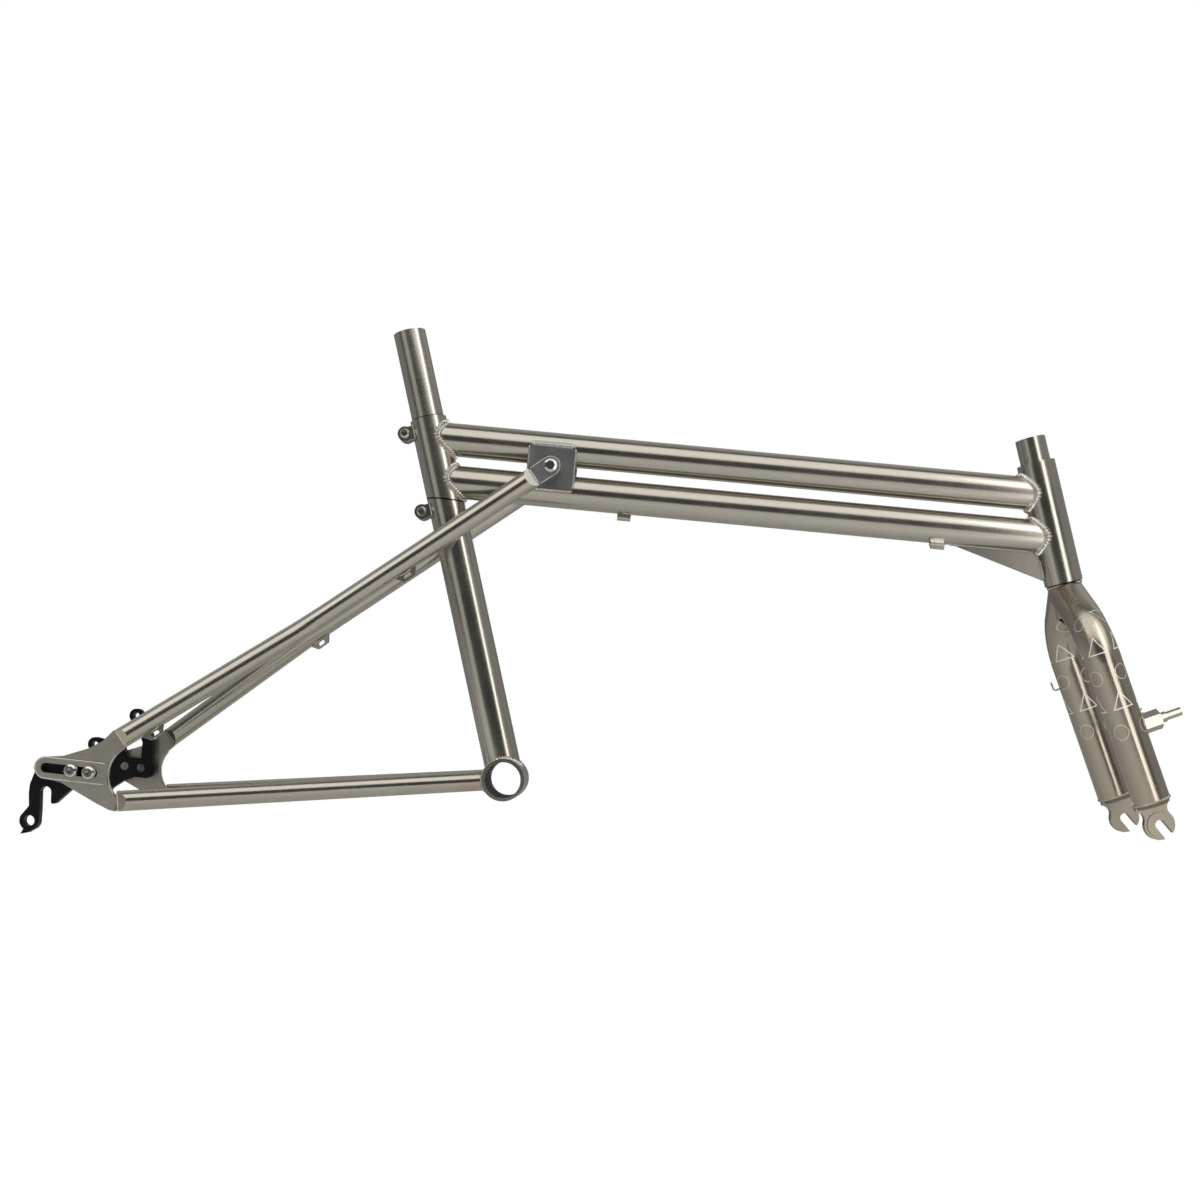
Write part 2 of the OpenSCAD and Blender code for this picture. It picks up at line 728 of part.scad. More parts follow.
module stay_tongue(left) {
  color(dark_titanium) on_side(left) on_stay() difference() {
    tongue_blank(stay_nose_at + stay_plug - 2);
    cross_bar(tongue_in - over, tongue_t + 2 * over, bush_r);
  }
}

module right_stay_tongue() stay_tongue(false);
module left_stay_tongue() stay_tongue(true);

// Flanged bush pressed into a tongue, turning on the pivot bolt
module pivot_bush(left) {
  color(bronze) translate(pivot) on_side(left) difference() {
    union() {
      cross_bar(flange_in, flange_t, flange_r);
      cross_bar(flange_in, flange_t + tongue_t, bush_r);
    }
    cross_bar(flange_in - over, flange_t + tongue_t + 2 * over, pivot_bolt_d / 2 + run_clear);
  }
}

module right_pivot_bush() pivot_bush(false);
module left_pivot_bush() pivot_bush(true);

// Outline of a hood with its two wings, from the rear axle
module hood_outline() {
  difference() {
    union() {
      strip(pad_rear, slot_front, pad_r);
      polygon(grown(hood_edge));
    }
    translate(hood_bay) circle(r = hood_bay_r);
  }
}

module hood(left) {
  color(dark_titanium) on_side(left) difference() {
    union() {
      on_axle() plate(hood_in, hood_t) hood_outline();
      on_axle() plate(hood_in, hood_t + pad_t) difference() {
        strip(pad_rear, slot_front + 12 * slot_dir, pad_r);
        translate(hood_bay) circle(r = hood_bay_r);
      }
    }
    on_axle() plate(hood_in - over, hood_t + pad_t + 2 * over) strip(pad_rear, slot_front, slot_w / 2);
    on_stay() seat_stay_blank(stay_r, stay_nose_at, 0);
    chain_stay_blank(stay_r, 0);
  }
}

module right_hood() hood(false);
module left_hood() hood(true);

// Hose guide under a seat stay: a lug with an oblong hole through it
module hose_guide(at) {
  lean = atan2(hood_mid - stay_y, stay_run - stay_bend_at);
  past = max(0, at - stay_bend_at);
  low = stay_r + hose_deep;
  hole_z = stay_r + hose_deep / 2 - 0.4;
  on_stay() difference() {
    translate([at, -stay_y - past * tan(lean), 0])
      rotate([90, 0, past > 0 ? -lean : 0]) translate([0, 0, -hose_t / 2])
        linear_extrude(height = hose_t) difference() {
          polygon([
            [-hose_len / 2 - 3, 0], [-hose_len / 2 - 3, stay_r], [-hose_len / 2 + 2, low],
            [hose_len / 2 - 2, low], [hose_len / 2 + 3, stay_r], [hose_len / 2 + 3, 0]
          ]);
          strip([-2.2, hole_z], [2.2, hole_z], 1.9);
        }
    seat_stay_blank(stay_r, stay_nose_at, 0);
  }
}

module hose_guides() {
  color(titanium) {
    hose_guide(right_hose_at);
    hose_guide(rear_hose_at);
    on_side(true) hose_guide(left_hose_at);
  }
}

// Shared tang of both sliders, behind the hood's slot
module slider_tang() {
  strip(pad_rear, slot_front + 2 * slot_dir, pad_r - 0.5);
}

function slider_bolt_place(i) = pad_rear + (slider_bolt_at + i * slider_bolt_gap) * slot_dir;

module slider_cuts() {
  circle(d = rear_slot_w);
  translate([-rear_slot_w / 2, -60]) square([rear_slot_w, 60]);
  for (i = [0, 1]) translate(slider_bolt_place(i)) circle(d = slider_bolt_d);
}

module right_slider_outline() {
  difference() {
    union() {
      slider_tang();
      polygon(grown(hanger_edge));
      polygon([for (q = grown(hanger_tail)) q + hanger_eye]);
      translate(hanger_eye) circle(r = hanger_r);
    }
    slider_cuts();
    translate(hanger_eye) circle(d = hanger_bore);
  }
}

// Middles of the two brake mount holes, from the rear axle
function brake_hole(i) = brake_mid + (i - 0.5) * brake_pitch * brake_dir;

module left_slider_outline() {
  difference() {
    union() {
      slider_tang();
      polygon(grown(brake_body_edge));
      polygon(grown(brake_web_edge));
      polygon([for (q = grown(high_ear_edge)) q + brake_hole(1)]);
      polygon([for (q = grown(low_ear_edge)) q + brake_hole(0)]);
      for (i = [0, 1]) translate(brake_hole(i)) circle(r = brake_ear_r);
    }
    slider_cuts();
    for (i = [0, 1]) translate(brake_hole(i)) circle(d = brake_bore);
  }
}

module right_slider() color(black) on_axle() plate(slider_in, slider_t) right_slider_outline();
module left_slider() color(black) on_axle() on_side(true) plate(slider_in, slider_t) left_slider_outline();

// The two bolts that clamp a slider to its hood
module slider_bolts(left) {
  color(stainless) on_axle() on_side(left) for (i = [0, 1])
    translate([slider_bolt_place(i).x, 0, slider_bolt_place(i).y])
      button_bolt(pad_out + slide_gap, slider_head_r, slider_head_h, slider_bolt_d / 2,
        pad_out + slide_gap - slider_in, 4);
}

module right_slider_bolts() slider_bolts(false);
module left_slider_bolts() slider_bolts(true);

module steerer() {
  len = steerer_under + head_len + steerer_out;
  color(titanium) on_head() translate([0, 0, -steerer_under]) difference() {
    cylinder(h = len, r = steerer_r);
    translate([0, 0, -over]) cylinder(h = len + 2 * over, r = steerer_r - steerer_wall);
    groove(steerer_r, len - steerer_out + face_gap);
  }
}

// Race ring on the crown, just under the lower bearing
module crown_race() {
  color(stainless) on_head() translate([0, 0, crown_top]) difference() {
    cylinder(h = bearing_inset - face_gap - crown_top, r = head_bore / 2 - 0.4);
    translate([0, 0, -over]) cylinder(h = bearing_h, r = steerer_r);
  }
}

// Fork leg: slants out from the crown, bends and runs straight to its end cap
module leg_blank(r, end_cut) {
  bent_rod(leg_top, leg_knee, leg_foot - (leg_end_at + end_cut) * leg_dir, leg_bend_r, r);
}

module fork_leg(left) {
  color(fork_titanium) on_head() on_side(left) difference() {
    leg_blank(leg_r, 0);
    leg_blank(leg_r - leg_wall, 3);
    translate([0, 0, -steerer_under - half_space / 4]) cylinder(h = half_space, r = steerer_r);
    translate([-half_space / 2, 0, -half_space]) cube(2 * half_space);
    translate([-half_space / 2, -half_space / 2, crown_top]) cube(half_space);
  }
}

module right_fork_leg() fork_leg(false);
module left_fork_leg() fork_leg(true);

// Round fork end with its tang, slot and rim, drawn from the axle up the leg
module fork_end(left) {
  y_in = front_hub / 2;
  neck_at = sqrt(pow(fork_end_r + fork_neck_r, 2) - pow(fork_neck_w / 2 + fork_neck_r, 2));
  color(fork_titanium) on_side(left) on_leg() translate([0, leg_y, 0]) difference() {
    union() {
      plate(y_in, fork_end_t) difference() {
        union() {
          circle(r = fork_end_r);
          translate([-leg_r + 0.5, 0]) square([2 * leg_r - 1, leg_end_at]);
        }
        for (x = [-1, 1]) translate([x * (fork_neck_w / 2 + fork_neck_r), 0]) {
          translate([0, neck_at]) circle(r = fork_neck_r);
          translate([-fork_neck_r, -leg_r]) square([2 * fork_neck_r, leg_r + neck_at - fork_neck_r * 0.4]);
        }
      }
      plate(y_in, fork_end_t) circle(r = fork_end_r);
      translate([0, -leg_y, leg_end_at - fork_cap_h]) cylinder(h = fork_cap_h, r1 = leg_r - 3, r2 = leg_r);
      plate(y_in, fork_end_t + 1.2) circle(r = fork_end_r - 2.4);
    }
    plate(y_in - over, fork_end_t + 2 * over + 1.2) rotate(-front_slot_angle - leg_drop_angle()) {
      circle(d = front_slot_w);
      translate([0, -front_slot_w / 2]) square([2 * fork_end_r, front_slot_w]);
    }
    translate([-half_space / 2, -leg_y - half_space / 2, leg_end_at]) cube(half_space);
  }
}

// Tilt of the fork legs in the level frame, degrees
function leg_drop_angle() = leg_tilt + 90 - head_angle;

module right_fork_end() fork_end(false);
module left_fork_end() fork_end(true);

// Carrier stud on the front of a leg: hexagon, collar and pin
module fork_stud(left) {
  hex_from = leg_r - 3;
  collar_r = 5;
  color(stainless) on_side(left) on_leg() translate([0, 0, stud_at]) difference() {
    rotate([0, 90, 0]) {
      translate([0, 0, hex_from]) cylinder(h = stud_hex_len + 3, r = hex_r(stud_hex), $fn = 6);
      translate([0, 0, leg_r + stud_hex_len]) cylinder(h = 6, r = collar_r);
      translate([0, 0, leg_r + stud_hex_len + 6]) cylinder(h = stud_pin_len, r = stud_pin_d / 2);
    }
    translate([0, 0, -half_space / 4]) cylinder(h = half_space / 2, r = leg_r);
  }
}

module right_fork_stud() fork_stud(false);
module left_fork_stud() fork_stud(true);

// Wire hook for a hose, behind the left leg
module hose_hook() {
  wire_r = hook_wire / 2;
  color(stainless) on_side(true) on_leg() difference() {
    translate([-leg_r, 0, hook_at]) {
      rotate([0, -90, 0]) translate([0, 0, -2]) cylinder(h = 2 + hook_stem, r = wire_r);
      translate([-hook_stem, 0, hook_bend]) rotate([90, 0, 0]) rotate([0, 0, 180])
        rotate_extrude(angle = 90) translate([hook_bend, 0]) circle(r = wire_r);
      translate([-hook_stem - hook_bend, 0, hook_bend]) cylinder(h = hook_tip, r = wire_r);
    }
    cylinder(h = 2 * leg_bend_at + hook_at, r = leg_r);
  }
}

module right_pivot_bolt() pivot_bolt(false);
module left_pivot_bolt() pivot_bolt(true);

head_tube();
upper_top_tube();
lower_top_tube();
seat_sleeve();
head_gusset();
pivot_bracket();
right_pivot_bolt();
left_pivot_bolt();
cable_guides();
upper_binder_bolt();
upper_bearing();
lower_bearing();
seat_post();
seat_tube();
bb_shell();
right_chain_stay();
left_chain_stay();
right_seat_stay();
left_seat_stay();
right_stay_tongue();
left_stay_tongue();
right_pivot_bush();
left_pivot_bush();
right_hood();
left_hood();
hose_guides();
lower_binder_bolt();
right_slider();
right_slider_bolts();
left_slider();
left_slider_bolts();
steerer();
crown_race();
right_fork_leg();
left_fork_leg();
right_fork_end();
left_fork_end();
right_fork_stud();
left_fork_stud();
hose_hook();
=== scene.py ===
"""Folding bicycle frameset: weld beads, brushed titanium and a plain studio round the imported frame."""

import math

import bmesh
import bpy
from mathutils import Matrix, Vector


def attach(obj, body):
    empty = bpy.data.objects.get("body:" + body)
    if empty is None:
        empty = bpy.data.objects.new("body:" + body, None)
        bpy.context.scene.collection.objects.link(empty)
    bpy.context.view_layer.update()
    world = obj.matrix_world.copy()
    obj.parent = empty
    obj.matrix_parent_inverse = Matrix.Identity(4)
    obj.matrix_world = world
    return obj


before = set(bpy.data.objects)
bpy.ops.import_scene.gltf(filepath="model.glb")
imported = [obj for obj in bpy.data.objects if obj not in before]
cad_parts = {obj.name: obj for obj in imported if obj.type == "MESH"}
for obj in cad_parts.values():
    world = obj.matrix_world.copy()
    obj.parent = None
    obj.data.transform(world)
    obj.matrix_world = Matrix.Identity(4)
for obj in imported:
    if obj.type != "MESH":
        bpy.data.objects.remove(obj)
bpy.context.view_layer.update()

bl_info = {
    "name": "Folding Bicycle Frameset",
    "version": (1, 0, 0),
    "blender": (4, 5, 0),
    "location": "View3D > Sidebar > Frameset",
    "description": "Dresses a folding bicycle frameset with weld beads, brushed titanium and a plain studio",
    "category": "Object",
}

MM = 0.001
ACROSS = Vector((0, 1, 0))
# Colours: black painted as painted shade in the seat tube's split gap, dark steel for the crown race and for a painted
# shadow line on the seat post, and light ground metal that is also a painted highlight on the stays' noses
GAP_SHADE_BLACK, DARK_STEEL_AND_SHADOW, GROUND_METAL_HIGHLIGHT = (0.01, 0.01, 0.01), (0.05, 0.048, 0.045), (0.86, 0.84, 0.80)
STRAW, BROWN, BRONZE = (0.62, 0.46, 0.25), (0.42, 0.27, 0.16), (0.62, 0.45, 0.22)

# The frameset's own sizes, in millimetres and degrees, as the part's source gives them
SEAT_ANGLE, HEAD_ANGLE, TOP_SLOPE = math.radians(76.1), math.radians(75.05), math.radians(3.6)
SLOT_SLOPE = math.radians(4.85)
TOP_R, SEAT_R, HEAD_R, BB_R, STAY_R = 15.9, 17.45, 18.2, 20.3, 9.525
STEERER_R, LEG_R = 14.3, 17.2
TOP_HEIGHT, TOP_SPACING = 323.6, 40.6
SLEEVE_TOP, SPLIT = 356.834, 275.964
BB_THREAD_R, THREAD_PITCH = 17.15, 1.06

SEAT_DIR = Vector((-math.cos(SEAT_ANGLE), 0, math.sin(SEAT_ANGLE)))
TOP_DIR = Vector((math.cos(TOP_SLOPE), 0, -math.sin(TOP_SLOPE)))
TOP_UP = TOP_DIR.cross(ACROSS)
STEER_DIR = Vector((-math.cos(HEAD_ANGLE), 0, math.sin(HEAD_ANGLE)))
STEER_FORE = Vector((math.sin(HEAD_ANGLE), 0, math.cos(HEAD_ANGLE)))
UPPER_AXIS = Vector((0, 0, TOP_HEIGHT))
LOWER_AXIS = Vector((0, 0, TOP_HEIGHT - TOP_SPACING / math.cos(TOP_SLOPE)))
HEAD_FOOT = Vector((535.9, 0, 206.267))
PIVOT = Vector((36, 0, 300.995))
REAR_AXLE = Vector((-417.8, 0, -22))
SLIDE_DIR = Vector((math.cos(SLOT_SLOPE), 0, -math.sin(SLOT_SLOPE)))


def on_head(fore, left, up):
    """A place by the steering axis, from the head tube's lower rim."""
    return HEAD_FOOT + STEER_FORE * fore + ACROSS * left + STEER_DIR * up


def on_top(along, left, up):
    """A place along the lower top tube's axis."""
    return LOWER_AXIS + TOP_DIR * along + ACROSS * left + TOP_UP * up


# The right fork leg
LEG_KNEE, LEG_FOOT = on_head(0, -57, -51), on_head(19.9, -57, -241.6)
LEG_DIR = (LEG_KNEE - LEG_FOOT).normalized()
LEG_FORE = ACROSS.cross(LEG_DIR)
END_INNER_FACE, END_OUTER_FACE = 50.0, 57.0

# The right hood and the two stays that end on it
HOOD_Y, HOOD_HALF, HOOD_OUT = 78.7, 3.0, 81.4
PAD_REAR, PAD_R, PAD_OUT, BAY_R = Vector((2.1, 0, 22.6)), 9.9, 83.0, 28.5
BAY = REAR_AXLE + Vector((87, 0, 17.3))
STAY_Y = SEAT_R + STAY_R - 0.35
STAY_FOOT, CHAIN_FOOT = REAR_AXLE + Vector((68.5, 0, 51)), REAR_AXLE + Vector((67.8, 0, -6.4))
STAY_RUN = (STAY_FOOT - PIVOT).length
STAY_DIR = (STAY_FOOT - PIVOT) / STAY_RUN
STAY_DOWN = STAY_DIR.cross(ACROSS)
STAY_BEND = 274.5
CHAIN_DIR = CHAIN_FOOT.normalized()
CHAIN_START, CHAIN_END = ACROSS * -18.5, CHAIN_FOOT - ACROSS * HOOD_Y
NOSE_LEAN = math.radians(52)
NOSE_AT, NOSE_OUT = 19.5, -26.8

# The pivot bracket: its cheeks' ground rims, its webs, and the beads along its cheeks' lower and upper edges, as
# distance from the middle plane and share of the main beads' radius. The lower ones are slimmer, as the seat
# stays swing past them.
CHEEK_Y, RIM_AT, RIM_HALF, WEB_AT, WEB_SHARE = 19.2, 22.5, 19, 21.5, 0.5
CHEEK_EDGE, CHEEK_HALF, LOWER_CHEEK, UPPER_CHEEK = 22.0, 22, (17.15, 0.6), (17.9, 0.78)

# The tongues' round ends and the binder lugs. A lug's welds lie behind and beside the seat tube's axis.
TONGUE_R, TONGUE_OUT, TONGUE_REACH = 9.0, 26.6, 18.0
UPPER_LUG, LOWER_LUG = SLEEVE_TOP - 10.5, SPLIT - 6.5
LUG_BACK, LUG_SIDE, LUG_HALF = 15.2, 8.5, 7

# Weld beads: rings in each ripple, sides of a ring, how deep a bead sits as a share of its radius, and the
# radius below which its ripples are finer
RIPPLE_STEPS, RING_SIDES, SINK, FINE_BEAD = 6, 10, 0.3, 2

# Radii of the small beads and of the ground edges
GUSSET_BEAD, GUIDE_BEAD, LUG_BEAD = 1.3, 0.9, 1.1
NOSE_BEAD, STAY_END_BEAD, HOSE_GUIDE_BEAD = 1.7, 1.2, 0.8
CROWN_BEAD, LEG_BEAD, STUD_BEAD = 1.5, 1.3, 1.2
BRACKET_RIM, TONGUE_RIM, PAD_RIM, BAY_RIM = 0.75, 0.5, 0.7, 0.8

# Cable guides under the lower tube, as place along it and turn round it in degrees, and hose guides under the
# left and right seat stays, as places along them
CABLE_GUIDES = (111, 0), (418, 27), (414, -27)
LEFT_HOSE_GUIDES, RIGHT_HOSE_GUIDES = (283,), (171.5, 444)
GUIDE_LEAN, GUIDE_HALF = 0.222, 5.5
HOSE_GUIDE_SIDE, HOSE_GUIDE_DOWN, HOSE_GUIDE_HALF = 2.0, 9.3, 6.5

# The gusset's half thickness and its two welds, each as middle on its tube (along or up, and out) and half length
GUSSET_SIDE = 2
UNDER_TUBE_AT, UNDER_TUBE_OUT, UNDER_TUBE_HALF = 464, -15.77, 39
HEAD_WELD_AT, HEAD_WELD_OUT, HEAD_WELD_HALF = 17.25, -18.1, 9.75

# The fork legs: cap's height, fork end's height and half width, and the stud
CAP_AT, END_AT, END_HALF, STUD_AT, STUD_R = 23.5, 18.8, 12.5, 94, 9.4

# The studio, in metres: the middle that the lamps aim at and the floor's radius
MIDDLE, FLOOR_R = Vector((0.1, 0, 0.15)), 2.1
WHITE, FLOOR_GREY = (1, 1, 1, 1), (0.8, 0.8, 0.79, 1)

# Soft lamps: name, turn to the right of the camera and rise in degrees, distance, width and height, and share of
# the key light's brightness
LAMPS = (
    ("overhead softbox", 0, 52, 2.0, (4.6, 1.75), 1.0),
    ("right strip", 48.5, 0, 0.87, (0.22, 1.9), 1.95),
    ("left softbox", -46, 8, 2.1, (0.95, 2.0), 0.38),
)

# The camera's place in the frame, its up direction and the shift of its view, as found from the photo
CAMERA_X, CAMERA_Z, CAMERA_UP = 0.1287, 0.0591, Vector((-0.0305, 0, 0.9995))
SHIFT_X, SHIFT_Y = -0.0333, 0.1017


def on_stay(along, left, down):
    """A place on the right seat stay's side view, from the pivot down its line."""
    return PIVOT + STAY_DIR * along + ACROSS * left + STAY_DOWN * down


def mirrored(v, left):
    """The place itself, or the same place on the left side."""
    return Vector((v.x, -v.y if left else v.y, v.z))


class FramesetFinish(bpy.types.PropertyGroup):
    tube: bpy.props.FloatVectorProperty(name="Tubes", description="Colour of the brushed titanium tubes",
        subtype="COLOR", default=(0.455, 0.423, 0.362), min=0, max=1)
    plate: bpy.props.FloatVectorProperty(name="Plates", description="Colour of the pivot bracket, tongues and hoods",
        subtype="COLOR", default=(0.40, 0.40, 0.395), min=0, max=1)
    fork: bpy.props.FloatVectorProperty(name="Fork", description="Colour of the fork legs",
        subtype="COLOR", default=(0.41, 0.362, 0.288), min=0, max=1)
    stainless: bpy.props.FloatVectorProperty(name="Bolts", description="Colour of the polished bolts and studs",
        subtype="COLOR", default=(0.62, 0.60, 0.57), min=0, max=1)
    black: bpy.props.FloatVectorProperty(name="Sliders", description="Colour of the black anodised sliding dropouts",
        subtype="COLOR", default=(0.012, 0.012, 0.013), min=0, max=1)
    weld: bpy.props.FloatVectorProperty(name="Welds", description="Colour of the weld beads",
        subtype="COLOR", default=(0.60, 0.58, 0.545), min=0, max=1)
    motif: bpy.props.FloatVectorProperty(name="Motifs", description="Colour of the outlined motifs on the fork legs",
        subtype="COLOR", default=(0.80, 0.80, 0.78), min=0, max=1)
    bead: bpy.props.FloatProperty(name="Bead size", description="Radius of the main weld beads, in millimetres",
        default=4.3, min=0.5, max=6)
    ripple: bpy.props.FloatProperty(name="Ripple pitch",
        description="Distance between the weld beads' ripples, in millimetres", default=2.8, min=0.8, max=5)


class FramesetStudio(bpy.types.PropertyGroup):
    distance: bpy.props.FloatProperty(name="Camera distance",
        description="Distance of the camera from the frameset's middle plane",
        subtype="DISTANCE", default=1.54, min=0.5, max=10)
    lens: bpy.props.FloatProperty(name="Lens", description="Focal length of the camera, in millimetres",
        default=47.59, min=20, max=200)
    floor: bpy.props.FloatProperty(name="Floor height",
        description="Height of the floor, where the missing wheels would stand",
        subtype="DISTANCE", default=-0.225, min=-1, max=0)
    key: bpy.props.FloatProperty(name="Key light", description="Brightness of the large softbox above the camera",
        default=1.4, min=0, max=10)


class Wire:
    """A node's output socket, with arithmetic that adds Math nodes."""

    def __init__(self, finish, socket):
        self.finish, self.socket = finish, socket

    def maths(self, operation, *values):
        return self.finish.add("ShaderNodeMath", {"operation": operation}, *values)

    def __add__(self, other):
        return self.maths("ADD", self, other)

    def __sub__(self, other):
        return self.maths("SUBTRACT", self, other)

    def __rsub__(self, other):
        return self.maths("SUBTRACT", other, self)

    def __mul__(self, other):
        return self.maths("MULTIPLY", self, other)

    def __truediv__(self, other):
        return self.maths("DIVIDE", self, other)

    __radd__, __rmul__ = __add__, __mul__

    def __gt__(self, other):
        return self.maths("GREATER_THAN", self, other)

    def __lt__(self, other):
        return self.maths("LESS_THAN", self, other)

    def __abs__(self):
        return self.maths("ABSOLUTE", self)

    def swing(self, amount):
        """How far a noise is above or below its middle, times the amount."""
        return (self - 0.5) * amount

    def ramp(self, low, high, start=0.0, end=1.0):
        """Goes smoothly from start to end while the value goes from low to high."""
        return self.finish.add("ShaderNodeMapRange", {"interpolation_type": "SMOOTHSTEP"},
            Value=self, **{"From Min": low, "From Max": high, "To Min": start, "To Max": end})


class Finish:
    """A material's or world's node tree, and the nodes that its finishes are made of."""

    def __init__(self, tree):
        self.tree = tree

    def add(self, kind, settings=None, *values, output=0, **sockets):
        """A new node's output. A value goes to the input of its place or name, as a link or a constant."""
        node = self.tree.nodes.new(kind)
        for key, value in (settings or {}).items():
            setattr(node, key, value)
        for key, value in [*enumerate(values), *sockets.items()]:
            self.feed(node.inputs[key], value)
        return Wire(self, node.outputs[output])

    def feed(self, socket, value):
        if isinstance(value, Wire):
            self.tree.links.new(value.socket, socket)
        else:
            socket.default_value = value

    def blend(self, amount, low, high):
        """Mixes two colours. Mix has its amount at input 0 and its colours at inputs 6 and 7."""
        node = self.tree.nodes.new("ShaderNodeMix")
        node.data_type = "RGBA"
        for index, value in ((0, amount), (6, low), (7, high)):
            self.feed(node.inputs[index], value)
        return Wire(self, node.outputs[2])

    def split(self, vector):
        """The vector's X, Y and Z."""
        parts = self.add("ShaderNodeSeparateXYZ", None, vector).socket.node
        return [Wire(self, output) for output in parts.outputs]

    def reach(self, x, y):
        """Distance from the Z axis."""
        return self.add("ShaderNodeMath", {"operation": "SQRT"}, x * x + y * y)

    def height(self, vector, direction):
        """How far the vector reaches along the direction."""
        return self.add("ShaderNodeVectorMath", {"operation": "DOT_PRODUCT"}, vector, Vector(direction), output="Value")

    def ray(self, kind):
        """1 for rays of this kind, 0 for the others."""
        return self.add("ShaderNodeLightPath", output=kind)

    def surface(self, shader, kind="ShaderNodeOutputMaterial"):
        """Joins the shader to a new output."""
        output = self.tree.nodes.new(kind)
        self.tree.links.new(shader.socket, output.inputs["Surface"])

    def place(self):
        """Object coordinates, which are the frameset's own, in metres."""
        return self.add("ShaderNodeTexCoord", output="Object")

    def along(self, direction, at=(0, 0, 0)):
        """Object coordinates turned so that Z runs along the direction, through the point."""
        turn = Vector(direction).rotation_difference(Vector((0, 0, 1))).to_matrix()
        shift = -(turn @ (Vector(at) * MM))
        return self.add("ShaderNodeMapping", {"vector_type": "POINT"},
            Vector=self.place(), Location=shift, Rotation=turn.to_euler())

    def noise(self, vector, scale, detail=2.0, rough=0.5):
        """Noise with its own scale along each axis, per metre."""
        stretched = self.add("ShaderNodeVectorMath", {"operation": "MULTIPLY"}, vector, Vector(scale))
        return self.add("ShaderNodeTexNoise", {"noise_dimensions": "3D"},
            Vector=stretched, Scale=1.0, Detail=detail, Roughness=rough)

    def distance(self, vector, point):
        """Distance from a point that is given in millimetres."""
        gap = self.add("ShaderNodeVectorMath", {"operation": "SUBTRACT"}, vector, Vector(point) * MM)
        return self.add("ShaderNodeVectorMath", {"operation": "LENGTH"}, gap, output="Value")


def rgb(colour, level=1.0):
    """The colour at another level, for a colour socket."""
    return (colour[0] * level, colour[1] * level, colour[2] * level, 1.0)


def new_finish(name):
    material = bpy.data.materials.new(name)
    material.use_nodes = True
    tree = material.node_tree
    tree.nodes.clear()
    return material, Finish(tree)


def close_finish(finish, colour, rough, normal, metallic=1.0):
    """Joins the colour, roughness and normal to a Principled shader."""
    sockets = {"Base Color": colour, "Roughness": rough, "Metallic": metallic, "Normal": normal}
    finish.surface(finish.add("ShaderNodeBsdfPrincipled", None, **sockets))


def tinted(f, metal, heat):
    """The colour with heat tints, each given as its middle, reach, colour and amount."""
    for point, reach, tint, amount in heat:
        near = f.distance(f.place(), point).ramp(reach * MM, 0.25 * reach * MM, 0.0, amount)
        metal = f.blend(near, metal, rgb(tint))
    return metal


def on_plane(f, direction, distance, half):
    """Mask of what lies within half a width of a plane across the direction, in millimetres."""
    return abs(f.height(f.place(), direction) - distance * MM) < half * MM


def tube_finish(name, colour, direction, at=(0, 0, 0), rough=0.22, lines=1.0, heat=(), painted_shade_rings=(),
                shaded_seam=None, nose=None, bore=None, motif=None):
    """Brushed titanium: fine rings of brushing round the tube, faint draw streaks along it, heat tints at welds.

    Painted shade bands are given as height, half width and colour, a seam painted black as painted shade in its gap
    and a ground nose painted lighter, as ground metal and as a painted highlight, each as direction and distance, and a
    threaded bore as its radius, whose inside is painted dark as painted shade. The motif is a function that makes a
    mask.
    """
    material, f = new_finish(name)
    p = f.along(direction, at)
    x, y, z = f.split(p)
    rings = f.noise(p, (40, 40, 1900), 2.5, 0.55)
    streaks = f.noise(p, (420, 420, 7), 2.0)
    cloud = f.noise(p, (26, 26, 17), 3.0, 0.6)
    shade = rings.swing(0.5 * lines) + streaks.swing(0.35) + cloud.swing(0.40) + 0.5
    metal = tinted(f, f.blend(shade, rgb(colour, 0.84), rgb(colour, 1.14)), heat)
    roughness = cloud.swing(0.14) + rings.swing(0.10) + rough
    metallic = 1.0
    bump = f.add("ShaderNodeBump", None, Strength=0.10 * lines, Distance=0.00003,
        Height=rings * 0.7 + streaks * 0.25)
    # Painted shade: dark bands painted round the tube, each given as height, half width and colour
    for height, half, ring in painted_shade_rings:
        metal = f.blend(abs(z - height * MM) < half * MM, metal, rgb(ring))
    # Painted shade: the split line between seat tube and sleeve is painted black where its gap is
    if shaded_seam is not None:
        metal = f.blend(on_plane(f, *shaded_seam, 0.65), metal, rgb(GAP_SHADE_BLACK))
    if motif is not None:
        paint = motif(f, p)
        metal = f.blend(paint, metal, rgb(bpy.context.scene.frameset_finish.motif))
        roughness = roughness + paint * 0.2
        metallic = 1.0 - paint * 0.75
    if nose is not None:
        # The stay's ground nose: a thin line of ground metal, painted lighter as a painted highlight of the nose's face
        ground = on_plane(f, *nose, 0.4)
        metal = f.blend(ground, metal, rgb(GROUND_METAL_HIGHLIGHT))
        roughness = roughness + ground * 0.32
    if bore is not None:
        # The bore's inside is painted dark as painted shade; its thread is a bump
        inside = f.reach(x, y) < bore * MM
        thread = f.add("ShaderNodeMath", {"operation": "PINGPONG"}, z, THREAD_PITCH / 2 * MM) * inside
        metal = f.blend(inside, metal, rgb(colour, 0.16))
        roughness = roughness + inside * 0.2
        bump = f.add("ShaderNodeBump", None, Strength=1.0, Distance=1.0, Height=thread, Normal=bump)
    close_finish(f, metal, roughness, bump, metallic)
    return material


